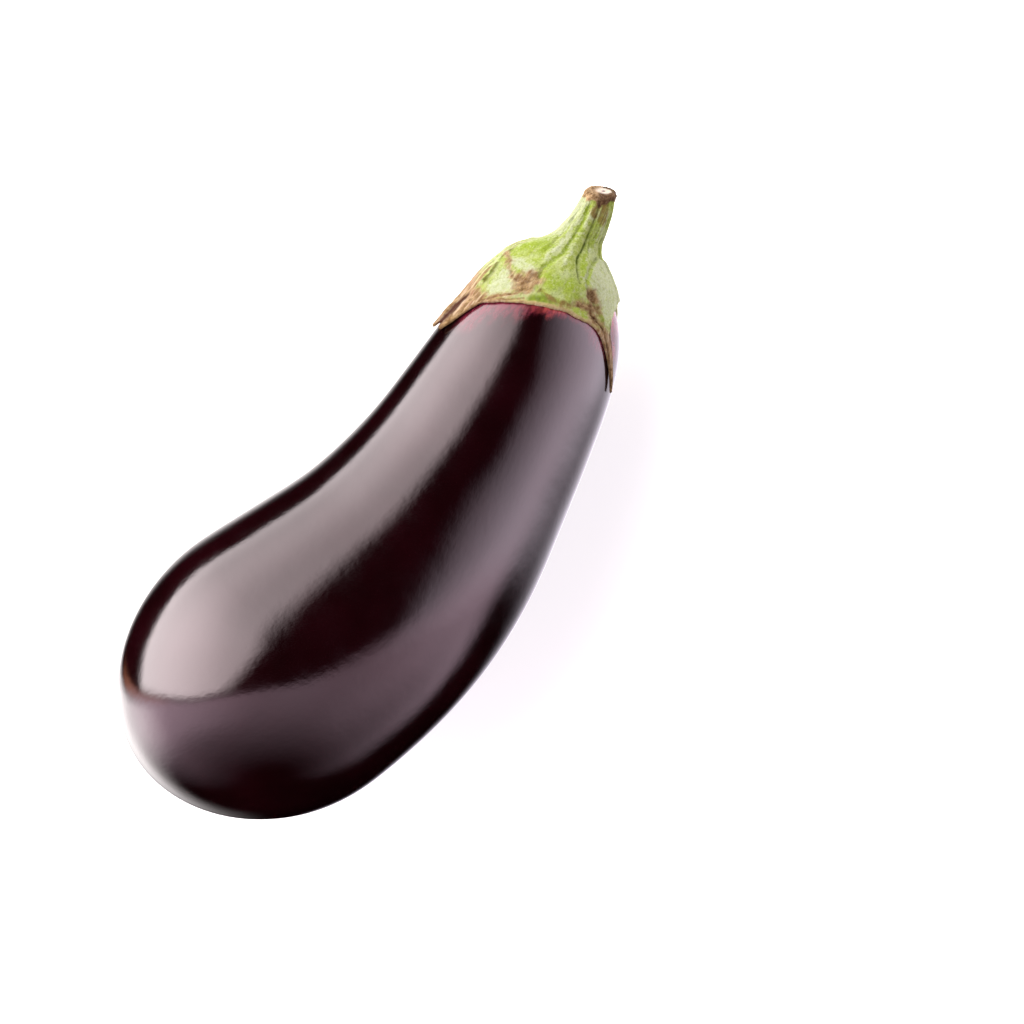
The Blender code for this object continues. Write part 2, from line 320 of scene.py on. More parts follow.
CALM_SHARE = 0.65
TAIL_LEAN = 1.45
TAIL_TOP = 188.0
TAIL_COLUMNS = (26.0, 40.0, 62.0, 80.0)
MIDDLE_RADIUS = 30.0


def calyx_edge(column):
    """Station of the ragged calyx edge in columns given in degrees."""
    first = EDGE[0][0]
    turned = first + (np.asarray(column, float) - first) % 360.0
    line = around(MIDDLE_RADIUS, turned, 0.0)
    rough = noise(line, 2.6, 3) + 0.6 * noise(line, 1.1, 4)
    calm = 1.0 - CALM_SHARE * step_between(np.abs(turned - CALM_MIDDLE), *CALM_WIDTHS)
    return smooth(EDGE, turned) + EDGE_RAGGEDNESS * rough * calm


def leaned(column, station):
    """Azimuth of a column at a station: those of the right tail lean over to the right."""
    lean = TAIL_LEAN * np.maximum(0.0, TAIL_TOP - station)
    return column + lean * window(column, *TAIL_COLUMNS)


def column_at(azimuth, station):
    """Column that passes an azimuth at a station."""
    azimuth = (np.asarray(azimuth, float) + 180.0) % 360.0 - 180.0
    column = azimuth
    for _ in range(6):
        column = column - 0.7 * (leaned(column, station) - azimuth)
    return column


edge_turns = np.linspace(-180.0, 180.0, 1441)
edge_stations = calyx_edge(edge_turns)
edge_line = around(MIDDLE_RADIUS, leaned(edge_turns, edge_stations), edge_stations)
print("calyx edge from", edge_stations.min().round(1), "to", edge_stations.max().round(1))

# %% [markdown]
# ## The fruit: a sweep by Geometry Nodes
# The fruit follows a rule: a round section of changing radius swept along a curved axis. A
# Geometry Nodes tree does that well. A line with a radius at every point becomes a curve, Curve
# to Mesh sweeps a circle along it, and the tree then makes it slightly three-sided and uneven,
# as real fruit is, lays it down and presses it flat where it rests on the ground. A lathed and
# subdivided mesh would look the same, but its sizes couldn't be changed by name.

# %% Line for the sweep
TIP_RINGS = 34
TIP_REACH = 7.5
BODY_RINGS = 214


def ring_stations():
    """Stations of the rings, close together where the blossom end turns in."""
    close = np.linspace(0.0, TIP_REACH, TIP_RINGS, endpoint=False)
    near = STATIONS[STATIONS < BLOSSOM_CAP_LENGTH]
    close = np.interp(close, fruit_radius(near), near)
    start = math.acos(1 - 2 * np.interp(TIP_REACH, fruit_radius(near), near) / FRUIT_LENGTH)
    rest = FRUIT_LENGTH * (1 - np.cos(np.linspace(start, math.pi, BODY_RINGS))) / 2
    return np.concatenate([close, rest])


def sweep_line():
    """Mesh of one open line in metres, with the radius and the station at each point."""
    rings = ring_stations()
    x = np.interp(rings, STATIONS, AXIS_X) * MM
    y = np.interp(rings, STATIONS, AXIS_Y) * MM
    line = bpy.data.meshes.new("fruit")
    edges = [(i, i + 1) for i in range(len(rings) - 1)]
    line.from_pydata([(a, b, 0.0) for a, b in zip(x, y)], edges, [])
    store(line, "radius", fruit_radius(rings) * MM)
    store(line, "station", rings)
    return line


fruit_line = sweep_line()
print(len(fruit_line.vertices), "rings")

# %% Helpers for Geometry Nodes


def new_geometry_tree(name, sockets):
    """Geometry tree with named inputs, given as name, kind and value."""
    tree = bpy.data.node_groups.new(name, "GeometryNodeTree")
    tree.interface.new_socket("Geometry", in_out="OUTPUT", socket_type="NodeSocketGeometry")
    tree.interface.new_socket("Geometry", in_out="INPUT", socket_type="NodeSocketGeometry")
    for title, kind, value in sockets:
        made = tree.interface.new_socket(title, in_out="INPUT", socket_type="NodeSocket" + kind)
        if value is not None:
            made.default_value = value
    return tree


def named(tree, name, kind="FLOAT"):
    """Output that reads a stored attribute."""
    return add_node(
        tree, "GeometryNodeInputNamedAttribute", {"Name": name}, data_type=kind
    ).outputs["Attribute"]


def vector_node(tree, operation, a, b=None, scale=None):
    """Output of a Vector Math node."""
    values = {0: a}
    if b is not None:
        values[1] = b
    if scale is not None:
        values["Scale"] = scale
    made = add_node(tree, "ShaderNodeVectorMath", values, operation=operation)
    return made.outputs["Value" if operation == "DOT_PRODUCT" else "Vector"]


def keep_as(tree, geometry, name, value, kind="FLOAT"):
    """Geometry output after a value is stored on its points."""
    return add_node(
        tree, "GeometryNodeStoreNamedAttribute",
        {"Geometry": geometry, "Name": name, "Value": value}, data_type=kind, domain="POINT",
    ).outputs["Geometry"]


# %% Steps of the fruit's tree


def uneven_push(tree, given, here):
    """Outward push that makes a round sweep slightly three-sided and swollen."""
    outwards = vector_node(tree, "SUBTRACT", here, named(tree, "axis", "FLOAT_VECTOR"))
    angle = math_node(tree, "RADIANS", named(tree, "azimuth"))
    wave = math_node(tree, "COSINE", math_node(tree, "MULTIPLY", angle, 3.0))
    wave = math_node(tree, "MULTIPLY", wave, given["Out Of Round"])
    scale = math_node(tree, "DIVIDE", 1.0, given["Swelling Length"])
    lumps = add_node(tree, "ShaderNodeTexNoise", {
        "Vector": here, "Scale": scale, "Detail": 1.0, "Roughness": 0.4,
    }, noise_dimensions="3D").outputs[0]
    lumps = product_of(
        tree, math_node(tree, "SUBTRACT", lumps, 0.5), 2.0, given["Swelling Height"]
    )
    lumps = math_node(tree, "DIVIDE", lumps, given["Usual Radius"])
    return vector_node(tree, "SCALE", outwards, scale=math_node(tree, "ADD", wave, lumps))


def laid_down(tree, given, here, geometry):
    """Geometry turned and moved to its place, and flat where it rests on the ground."""
    tilt = add_node(tree, "ShaderNodeCombineXYZ", {"Y": given["Laying Tilt"]}).outputs[0]
    turned = add_node(tree, "GeometryNodeTransform", {
        "Geometry": geometry, "Translation": given["Set Down"], "Rotation": tilt,
    }).outputs[0]
    parts = add_node(tree, "ShaderNodeSeparateXYZ", {"Vector": here}).outputs
    height = math_node(tree, "MAXIMUM", parts["Z"], 0.0)
    flat = add_node(
        tree, "ShaderNodeCombineXYZ", {"X": parts["X"], "Y": parts["Y"], "Z": height}
    ).outputs[0]
    return add_node(
        tree, "GeometryNodeSetPosition", {"Geometry": turned, "Position": flat}
    ).outputs[0]


# %% Tree that sweeps the fruit


def sweep_tree():
    """Tree: line to curve, sweep, uneven sides, laying down, flat underside."""
    tree = new_geometry_tree("fruit sweep", (
        ("Sides", "Int", 256),
        ("Out Of Round", "Float", OUT_OF_ROUND),
        ("Usual Radius", "Float", 0.04),
        ("Swelling Height", "Float", 0.0),
        ("Swelling Length", "Float", 0.05),
        ("Laying Tilt", "Float", LYING_TILT),
        ("Set Down", "Vector", None),
        ("Skin", "Material", None),
    ))
    given = add_node(tree, "NodeGroupInput").outputs
    curve = add_node(tree, "GeometryNodeMeshToCurve", {"Mesh": given["Geometry"]}).outputs[0]
    here = add_node(tree, "GeometryNodeInputPosition").outputs[0]
    curve = keep_as(tree, curve, "axis", here, "FLOAT_VECTOR")
    curve = add_node(tree, "GeometryNodeSetCurveNormal", {"Curve": curve}, mode="Z_UP").outputs[0]
    circle = add_node(
        tree, "GeometryNodeCurvePrimitiveCircle", {"Resolution": given["Sides"], "Radius": 1.0}
    ).outputs["Curve"]
    count = add_node(tree, "GeometryNodeInputIndex").outputs[0]
    share = math_node(tree, "DIVIDE", count, given["Sides"])
    circle = keep_as(tree, circle, "azimuth", math_node(tree, "MULTIPLY_ADD", share, 360.0, 90.0))
    swept = add_node(tree, "GeometryNodeCurveToMesh", {
        "Curve": curve, "Profile Curve": circle, "Scale": named(tree, "radius"),
    }).outputs[0]
    swept = add_node(
        tree, "GeometryNodeMergeByDistance", {"Geometry": swept, "Distance": 1e-6}
    ).outputs[0]
    swept = add_node(tree, "GeometryNodeSetPosition", {
        "Geometry": swept, "Offset": uneven_push(tree, given, here),
    }).outputs[0]
    laid = laid_down(tree, given, here, swept)
    whole = add_node(tree, "GeometryNodeRealizeInstances", {"Geometry": laid})
    made = add_node(tree, "GeometryNodeSetMaterial", {
        "Geometry": whole.outputs[0], "Material": given["Skin"],
    })
    add_node(tree, "NodeGroupOutput", {0: made.outputs[0]})
    return tree


FRUIT_TREE = sweep_tree()
print("sweep has", len(FRUIT_TREE.nodes), "nodes")

# %% Turn the tree's result into a plain mesh


def grown(name, mesh, tree, values):
    """Plain mesh object that the tree makes from the mesh, with its inputs set by name."""
    piece = bpy.data.objects.new(name, mesh)
    bpy.context.scene.collection.objects.link(piece)
    modifier = piece.modifiers.new("nodes", "NODES")
    modifier.node_group = tree
    for item in tree.interface.items_tree:
        if item.item_type == "SOCKET" and item.in_out == "INPUT" and item.name in values:
            modifier[item.identifier] = values[item.name]
    evaluated = piece.evaluated_get(bpy.context.evaluated_depsgraph_get())
    result = bpy.data.meshes.new_from_object(evaluated)
    piece.modifiers.clear()
    piece.data = result
    result.name = name
    return piece


# %% [markdown]
# ## Skin
# Eggplant skin is a very dark maroon under a smooth waxy layer. What one sees of it is mostly
# the studio in that layer, so the shader stays plain: a dark colour, a low roughness that varies
# a little, and a faint orange-peel bump. Close to the calyx the colour turns to pink, and the
# scar at the blossom end is tan cork. Both places are told to the shader by numbers stored on
# the mesh, which follow the surface whichever way the fruit is turned.

# %% Helpers for shaders


def new_material(name):
    """Empty material with its tree and its Principled shader."""
    material = bpy.data.materials.new(name)
    material.use_nodes = True
    tree = material.node_tree
    return material, tree, tree.nodes["Principled BSDF"]


def texture_noise(tree, vector, scale, detail=2.0, rough=0.5, stretch=None):
    """Noise value over a vector, which may be stretched first."""
    if stretch:
        vector = add_node(
            tree, "ShaderNodeMapping", {"Vector": vector, "Scale": stretch}
        ).outputs[0]
    return add_node(tree, "ShaderNodeTexNoise", {
        "Vector": vector, "Scale": scale, "Detail": detail, "Roughness": rough,
    }).outputs[0]


def stored(tree, name):
    """Node that reads a number or vector stored on the mesh."""
    return add_node(tree, "ShaderNodeAttribute", attribute_name=name).outputs


# %% Cork, used on the blossom scar and on the cut stem
CORK_TAN = (0.25, 0.155, 0.080, 1.0)
CORK_DARK = (0.060, 0.030, 0.015, 1.0)


def cork_group():
    """Shader group: rough crust, as a colour and a height."""
    tree = bpy.data.node_groups.new("cork", "ShaderNodeTree")
    for title, side, kind in (
        ("Place", "INPUT", "Vector"), ("Grain", "INPUT", "Float"), ("Light", "INPUT", "Color"),
        ("Dark", "INPUT", "Color"), ("Color", "OUTPUT", "Color"), ("Height", "OUTPUT", "Float"),
    ):
        tree.interface.new_socket(title, in_out=side, socket_type="NodeSocket" + kind)
    given = add_node(tree, "NodeGroupInput").outputs
    grit = texture_noise(tree, given["Place"], given["Grain"], 4.0, 0.7)
    colour = mix_colours(tree, ramp_up(tree, grit, 0.36, 0.64), given["Dark"], given["Light"])
    add_node(tree, "NodeGroupOutput", {"Color": colour, "Height": grit})
    return tree


CORK = cork_group()


def cork_look(tree, place, light, dark, grain=1100.0):
    """Colour and height of cork in a material."""
    made = add_node(tree, "ShaderNodeGroup", node_tree=CORK)
    for key, value in (("Grain", grain), ("Light", light), ("Dark", dark)):
        made.inputs[key].default_value = value
    tree.links.new(place, made.inputs["Place"])
    return made.outputs["Color"], made.outputs["Height"]


print("cork group has", len(CORK.nodes), "nodes")

# %% Skin material
SKIN_DARK = (0.0024, 0.0002, 0.0004, 1.0)
SKIN_LIGHT = (0.0048, 0.0004, 0.0009, 1.0)
SKIN_PINK = (0.17, 0.016, 0.036, 1.0)
SKIN_CORAL = (0.45, 0.075, 0.055, 1.0)
WAX_ROUGHNESS = (0.095, 0.15)


def pink_share(tree, straight, dots):
    """Share of pink: most right under the calyx, and fading unevenly below it."""
    cloudy = texture_noise(tree, straight, 1.0, 4.0, 0.65, stretch=(0.30, 0.30, 0.16))
    patchy = texture_noise(tree, straight, 1.0, 3.0, 0.6, stretch=(0.55, 0.55, 0.30))
    uneven = math_node(tree, "MULTIPLY_ADD", cloudy, 2.4, -0.2)
    reach = product_of(tree, stored(tree, "blush_reach")["Fac"], uneven)
    reach = math_node(tree, "MAXIMUM", reach, 0.4)
    share = math_node(tree, "DIVIDE", stored(tree, "below_calyx")["Fac"], reach)
    share = math_node(tree, "MULTIPLY_ADD", dots, 0.4, math_node(tree, "SUBTRACT", share, 0.2))
    return product_of(
        tree, ramp_up(tree, share, 1.4, -0.5), stored(tree, "blush")["Fac"],
        ramp_up(tree, patchy, 0.36, 0.62, 0.35, 1.0),
    )


def skin_material():
    """Dark waxy skin with its pink part below the calyx and its scar."""
    material, tree, shader = new_material("eggplant skin")
    place = add_node(tree, "ShaderNodeTexCoord").outputs["Object"]
    straight = stored(tree, "straight")["Vector"]
    scar = stored(tree, "scar")["Fac"]
    cloud = texture_noise(tree, place, 45.0, 3.0)
    dots = texture_noise(tree, place, 600.0, 2.0, 0.55)
    dark = mix_colours(tree, ramp_up(tree, cloud, 0.3, 0.75), SKIN_DARK, SKIN_LIGHT)
    pink = pink_share(tree, straight, dots)
    colour = mix_colours(tree, pink, dark, SKIN_PINK)
    coral = product_of(tree, stored(tree, "coral")["Fac"], ramp_up(tree, dots, 0.3, 0.65), pink)
    colour = mix_colours(tree, coral, colour, SKIN_CORAL)
    cork, crust = cork_look(tree, place, CORK_TAN, CORK_DARK)
    cork = mix_colours(tree, stored(tree, "scar_middle")["Fac"], cork, CORK_DARK)
    colour = mix_colours(tree, scar, colour, cork)
    tree.links.new(colour, shader.inputs["Base Color"])
    wax = texture_noise(tree, place, 120.0, 4.0, 0.6)
    rough = add_node(tree, "ShaderNodeMapRange", {
        "Value": wax, "From Min": 0.3, "From Max": 0.7,
        "To Min": WAX_ROUGHNESS[0], "To Max": WAX_ROUGHNESS[1],
    }).outputs[0]
    rough = math_node(tree, "MULTIPLY_ADD", pink, 0.22, rough)
    rough = math_node(tree, "MULTIPLY_ADD", scar, 0.6, rough)
    tree.links.new(rough, shader.inputs["Roughness"])
    shader.inputs["IOR"].default_value = 1.5
    shader.inputs["Specular Tint"].default_value = (1.0, 0.85, 0.88, 1.0)
    peel = texture_noise(tree, straight, 1.0, 3.0, 0.6, stretch=(0.9, 0.9, 0.5))
    swell = texture_noise(tree, place, 90.0, 2.0, 0.5)
    height = total_of(
        tree, product_of(tree, peel, 0.08), product_of(tree, swell, 0.25),
        product_of(tree, crust, scar, 0.5),
    )
    bump = add_node(tree, "ShaderNodeBump", {"Strength": 0.35, "Distance": 0.001, "Height": height})
    tree.links.new(bump.outputs[0], shader.inputs["Normal"])
    return material


SKIN = skin_material()
print("skin shader has", len(SKIN.node_tree.nodes), "nodes")

# %% [markdown]
# ## The fruit's own marks
# The waxy skin is pink where the calyx shaded it, reddest in two places, and sunken at the dead
# corky scar where the flower sat. A shader can't measure how far a point is from a ragged edge,
# so the distance is worked out here once and stored on the mesh.

# %% Sizes of the fruit's skin
FRUIT_SIDES = 256
SWELLING_HEIGHT = 0.25
SWELLING_LENGTH = 0.06
USUAL_RADIUS = 0.04
SCAR_RADIUS = 4.2
SCAR_DEPTH = 0.5
SCAR_MIDDLE = (2.4, 0.8)
SCAR_WOBBLE = 0.7
SCAR_AIM = 10.0
SCAR_CRUST = 0.12
CHART_RADIUS = 36.0
NEAR_EDGE = 25.0
BLUSH_END = 166.0
BLUSH_END_RISE = 0.3
BLUSH_FADE = 5.0
# Azimuth, half width and strength of the two reddest places.
CORAL_PLACES = ((1.0, 14.0, 1.0), (70.0, 11.0, 1.2))
BLUSH_REACH = (
    (-180.0, 2.5), (-110.0, 2.0), (-75.0, 1.0), (-62.0, 2.0), (-50.0, 7.0), (-34.0, 6.4),
    (-20.0, 5.0), (-8.0, 2.8), (4.0, 2.2), (14.0, 1.2), (28.0, 1.6), (40.0, 4.2), (48.0, 4.6),
    (58.0, 1.5), (64.0, 6.0), (76.0, 7.0), (90.0, 4.0), (120.0, 2.5), (180.0, 2.5),
)
BLUSH_STRENGTH = (
    (-180.0, 0.8), (-100.0, 0.7), (-85.0, 0.0), (-60.0, 0.0), (-54.0, 0.5), (-46.0, 0.8),
    (-34.0, 0.75), (-20.0, 0.9), (-8.0, 1.0), (6.0, 1.0), (16.0, 0.75), (30.0, 0.8), (42.0, 1.0),
    (52.0, 0.8), (60.0, 0.8), (72.0, 0.9), (90.0, 0.8), (180.0, 0.8),
)
print("blush reaches", max(row[1] for row in BLUSH_REACH), "mm at most")

# %% Make the fruit
fruit = grown("fruit_skin", fruit_line, FRUIT_TREE, {
    "Sides": FRUIT_SIDES, "Out Of Round": OUT_OF_ROUND, "Usual Radius": USUAL_RADIUS,
    "Swelling Height": SWELLING_HEIGHT * MM, "Swelling Length": SWELLING_LENGTH,
    "Laying Tilt": LYING_TILT, "Set Down": tuple(SET_DOWN), "Skin": SKIN,
})
print("fruit skin:", len(fruit.data.polygons), "faces")

# %% Tell the skin how far below the calyx it is


def mark_blush(mesh, station, azimuth):
    """Store the distance below the calyx and the strengths of the pink and the coral."""
    here = around(MIDDLE_RADIUS, azimuth, station)
    below = calyx_edge(column_at(azimuth, station)) - station
    near = np.abs(below) < NEAR_EDGE
    gaps = np.linalg.norm(here[near][:, None, :] - edge_line[None, ::4, :], axis=2).min(axis=1)
    below[near] = np.sign(below[near]) * gaps
    store(mesh, "below_calyx", below)
    turned = (azimuth + 180.0) % 360.0 - 180.0
    store(mesh, "blush_reach", smooth(BLUSH_REACH, turned))
    lowest = BLUSH_END + BLUSH_END_RISE * np.clip(turned, 0.0, 45.0)
    lasting = step_between(station, lowest, lowest + BLUSH_FADE)
    store(mesh, "blush", smooth(BLUSH_STRENGTH, turned) * lasting)
    coral = sum(
        strength * np.exp(-((turned - middle) / width) ** 2)
        for middle, width, strength in CORAL_PLACES
    )
    store(mesh, "coral", coral)


def press_scar(mesh, station, azimuth):
    """Store where the scar is and press its place in."""
    radius = fruit_radius(station)
    from_tip = np.where(station < FRUIT_LENGTH / 2, radius, 2 * radius.max())
    wobble = noise(around(4.0, azimuth, 0.0), 1.7, 8) * SCAR_WOBBLE
    scar = step_between(from_tip + wobble, SCAR_RADIUS + 0.5, SCAR_RADIUS - 0.5)
    store(mesh, "scar", scar)
    store(mesh, "scar_middle", step_between(from_tip + wobble, *SCAR_MIDDLE))
    start, end = to_frame([(0.0, 0.0, 0.0), (0.0, 0.0, SCAR_AIM)])
    crust = noise(around(radius, azimuth, station), 0.9, 5) * SCAR_CRUST
    depth = SCAR_DEPTH * step_between(from_tip, SCAR_RADIUS + 0.4, 1.0) + crust * scar
    points = points_of(mesh) + depth[:, None] * (end - start) / SCAR_AIM
    mesh.vertices.foreach_set("co", points.astype(np.float32).ravel())
    mesh.update()


skin_station = read_numbers(fruit.data, "station")
skin_azimuth = read_numbers(fruit.data, "azimuth")
store(fruit.data, "straight", around(CHART_RADIUS, skin_azimuth, skin_station))
mark_blush(fruit.data, skin_station, skin_azimuth)
press_scar(fruit.data, skin_station, skin_azimuth)
fruit.data.polygons.foreach_set("use_smooth", [True] * len(fruit.data.polygons))
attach(fruit, "root")
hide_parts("fruit")
print("skin marked at", len(skin_station), "points")

# %% [markdown]
# ## The calyx and the stem: one grown surface
# The sepals run up into the stem without a seam, so both are one closed mesh. It is a polar
# grid: each column is a line that starts under the calyx, turns round its thin edge, climbs over
# the sepal and up the stem, and ends in the middle of the cut. Rows of the grid can then be
# pushed in and out for ribs, creases and bulges. Sculpting by hand would do as well, but these
# lines can be measured on the real one and written down.

# %% Columns of the calyx and stem
COLUMNS = 440
INNER_ROWS = 10
ROUNDING_ROWS = 5
SEPAL_ROWS = 100
FLARE_ROWS = 34
STEM_ROWS = 50
CUT_ROWS = 12
GAP = 0.3
SLOPE_STEP = 0.05
EDGE_THICKNESS = 0.75
EDGE_ROUNDING = 0.6 * EDGE_THICKNESS
INNER_TOP = FRUIT_LENGTH - 0.2
INNER_CROWDING = 1.1
CROWN_GAIN = 3.3
RIGHT_THINNING = 0.55
THICKENING_START = 186.0
THICKENING_SPAN = 14.0
TIP_LIFT = 0.9
TIP_LIFT_SPAN = 22.0
SEPAL_TOP = 199.5
FLARE_PULL = 11.5
STEM_FOOT = 212.0
STEM_CROWDING = 1.3
STEM_RADII = (
    (208.1, 6.8), (210.5, 6.8), (212.5, 6.6), (215.5, 6.0), (219.5, 5.4), (223.0, 4.95),
    (228.0, 4.75),
)
STEM_SHIFTS = (
    (180.0, 0.0), (199.0, 0.6), (208.1, 1.0), (211.0, 0.8), (215.5, 0.0), (219.5, -0.3),
    (228.0, 0.05),
)
STEM_CUT = 226.1
CUT_MIDDLE = STEM_SHIFTS[-1][1]
CUT_SLOPE_LEFT = 0.20
CUT_SLOPE_UP = 0.36
CUT_ROUNDING = 1.3
CUT_HOLLOW = 0.45
CUT_RADIUS = 4.9
PITH_PLACE = (-0.6, -1.6)
PITH_RADIUS = 2.2
print("stem from", STEM_FOOT, "to", STEM_CUT, "mm along the axis")

# %% Thickness of the sepals


def off_the_skin(station, distance):
    """Radius and station of points at a distance straight out from the skin."""
    rise = fruit_radius(station - SLOPE_STEP) - fruit_radius(station + SLOPE_STEP)
    run = 2.0 * SLOPE_STEP
    length = np.hypot(rise, run)
    return fruit_radius(station) + distance * run / length, station + distance * rise / length


def skin_clearance(station):
    """Gap between the skin and the calyx, which opens towards the sepal tips."""
    reach = np.maximum(0.0, THICKENING_START - station) / TIP_LIFT_SPAN
    return GAP + TIP_LIFT * reach ** 2


def sepal_thickness(station, column):
    """Thin at the edge and thick at the crown."""
    gain = np.maximum(0.0, station - THICKENING_START) / THICKENING_SPAN
    thinning = 1.0 - RIGHT_THINNING * np.maximum(0.0, np.sin(np.radians(column)))
    return EDGE_THICKNESS + CROWN_GAIN * thinning * gain ** 2


print("crown is", sepal_thickness(SEPAL_TOP, 0.0).round(1), "mm thick")

# %% Rows of the sepals


def ways(count):
    """Evenly spaced shares above 0, up to 1."""
    return np.linspace(0.0, 1.0, count + 1)[1:]


def sepal_rows(column):
    """Radius and station of the rows under, round and over the sepals."""
    edge = calyx_edge(column)
    rows = []
    for way in ways(INNER_ROWS):
        station = INNER_TOP - (INNER_TOP - edge) * way ** INNER_CROWDING
        rows.append(off_the_skin(station, skin_clearance(station)))
    for angle in ways(ROUNDING_ROWS) * math.pi / 2:
        station = edge + EDGE_ROUNDING * (1 - math.cos(angle))
        thick = sepal_thickness(station, column) * math.sin(angle)
        rows.append(off_the_skin(station, skin_clearance(station) + thick))
    start = edge + EDGE_ROUNDING
    for way in ways(SEPAL_ROWS):
        station = start + (SEPAL_TOP - start) * way
        thick = sepal_thickness(station, column)
        rows.append(off_the_skin(station, skin_clearance(station) + thick))
    return rows


print(len(sepal_rows(np.zeros(1))), "rows from under the calyx to its crown")

# %% Rows of the stem


def hermite(start, start_slope, end, end_slope, u):
    """Curve between two values with given slopes."""
    return (
        start * (1 + 2 * u) * (1 - u) ** 2 + start_slope * u * (1 - u) ** 2
        + end * u * u * (3 - 2 * u) + end_slope * u * u * (u - 1)
    )


def cut_height(left, up):
    """Station of the sloping cut face."""
    return STEM_CUT - CUT_SLOPE_LEFT * left - CUT_SLOPE_UP * up


def stem_rows(column, foot, before):
    """Radius and station of the rows of the flare and the stem, from the last two sepal rows."""
    direction = (foot - before) / np.linalg.norm(foot - before, axis=0)
    root = float(smooth(STEM_RADII, STEM_FOOT))
    steep = float(smooth(STEM_RADII, STEM_FOOT + 0.5) - smooth(STEM_RADII, STEM_FOOT - 0.5))
    rows = []
    for u in ways(FLARE_ROWS):
        rows.append((
            hermite(foot[0], direction[0] * FLARE_PULL, root, steep * FLARE_PULL, u),
            hermite(foot[1], direction[1] * FLARE_PULL, STEM_FOOT, FLARE_PULL, u),
        ))
    angle = np.radians(column)
    end = cut_height(CUT_MIDDLE - CUT_RADIUS * np.sin(angle), CUT_RADIUS * np.cos(angle))
    for way in ways(STEM_ROWS):
        along = STEM_FOOT + (end - STEM_FOOT) * (1.0 - (1.0 - way) ** STEM_CROWDING)
        short = CUT_ROUNDING - np.minimum(end - along, CUT_ROUNDING)
        rounding = CUT_ROUNDING - np.sqrt(np.maximum(CUT_ROUNDING ** 2 - short ** 2, 0))
        rows.append((smooth(STEM_RADII, along) - rounding, along))
    return rows


print("cut face lies", round(cut_height(0.0, 0.0), 1), "mm up the axis in its middle")

# %% Grid of the calyx and stem


def calyx_grid(column):
    """Rows of straight points from under the calyx to the cut of the stem."""
    rows = sepal_rows(column)
    rows += stem_rows(column, np.array(rows[-1]), np.array(rows[-2]))
    radii, alongs = (np.array([row[i] for row in rows]) for i in range(2))
    azimuths = leaned(column[None, :], alongs)
    grid = around(radii, azimuths, alongs, smooth(STEM_SHIFTS, alongs))
    shares = np.linspace(1.0, 0.0, CUT_ROWS + 1)[1:-1]
    cut = np.array([around(radii[-1] * share, column, 0.0, CUT_MIDDLE) for share in shares])
    cut[..., 2] = cut_height(cut[..., 0], cut[..., 1])
    return np.concatenate([grid, cut])


columns = np.arange(COLUMNS) * 360.0 / COLUMNS - 180.0
grid = calyx_grid(columns)
print("grid of", grid.shape[0], "rows and", grid.shape[1], "columns")

# %% [markdown]
# ## Lines on the calyx
# The marks on a real calyx are lines: grooves that run down the stem, brown veins that fork from
# the worn notches between the sepals, and a border where one sepal lies over the next. Each is
# written as a few points (along, azimuth), smoothed, laid on the surface, and every grid point is
# told its distance to it. The same distances shape the relief and the colours, so a brown vein
# is also a ridge or a crease. Painting on an image would be the other way, but an image has no
# relief and a fixed size.

# %% Lay a line on the surface
OUTER_START = INNER_ROWS + ROUNDING_ROWS
CUT_START = grid.shape[0] - (CUT_ROWS - 1)
LINE_STEP = 0.6
MARK_REACH = 3.0


def laid(*marks, wander=0.25):
    """Smooth line on the outer surface through marks given as (along, azimuth)."""
    marks = np.array(marks, float)
    lengths = np.hypot(np.diff(marks[:, 0]), np.diff(marks[:, 1]) * 0.4)
    way = np.concatenate([[0.0], np.cumsum(lengths)])
    steps = np.linspace(0.0, way[-1], max(3, int(way[-1] / LINE_STEP)))
    along = smooth(np.stack([way, marks[:, 0]], 1), steps)
    azimuth = smooth(np.stack([way, marks[:, 1]], 1), steps)
    sway = noise(around(20.0, azimuth, along), 2.3, 51)
    column = column_at(azimuth + 1.2 * wander * sway, along)
    outer = grid[OUTER_START:CUT_START]
    place = (column + 180.0) / 360.0 * COLUMNS
    dropped = []
    for station, where in zip(along, place):
        low = int(math.floor(where))
        found = []
        for strip in (outer[:, low % COLUMNS], outer[:, (low + 1) % COLUMNS]):
            found.append([np.interp(station, strip[:, 2], strip[:, axis]) for axis in range(3)])
        share = where - low
        dropped.append(np.array(found[0]) * (1 - share) + np.array(found[1]) * share)
    return np.array(dropped)


def swayed(points, seed):
    """Points moved about a little at random, so that what is drawn at them gets rough borders."""
    shifts = [
        0.75 * noise(points, 2.4, seed + axis) + 0.4 * noise(points, 0.9, seed + 3 + axis)
        for axis in range(3)
    ]
    return points + np.stack(shifts, axis=-1)


uneven_grid = swayed(grid, 61)
print("grid points swayed by up to", np.abs(uneven_grid - grid).max().round(2), "mm")


def distance_to(line, reach, place=grid):
    """Distance of each grid point to a line, where it is under the reach."""
    flat = place.reshape(-1, 3)
    best = np.full(len(flat), 99.0)
    low, high = line.min(axis=0) - reach, line.max(axis=0) + reach
    near = np.flatnonzero(((flat > low) & (flat < high)).all(axis=1))
    close = np.full(len(near), 99.0)
    for start, end in zip(line[:-1], line[1:]):
        step = end - start
        t = np.clip(((flat[near] - start) @ step) / max(step @ step, 1e-9), 0.0, 1.0)
        gap = np.linalg.norm(flat[near] - (start + t[:, None] * step), axis=1)
        close = np.minimum(close, gap)
    best[near] = close
    return best.reshape(grid.shape[:-1])


def mark(line, width, place=grid):
    """1 on a line and 0 beyond its width."""
    return np.exp(-(distance_to(line, MARK_REACH * width, place) / width) ** 2)


def marks(width, *lines):
    """The strongest mark of several lines."""
    return np.max([mark(line, width) for line in lines], axis=0)


def stained(width, *lines):
    """The strongest mark of several lines, with rough borders."""
    return np.max([mark(line, width, uneven_grid) for line in lines], axis=0)


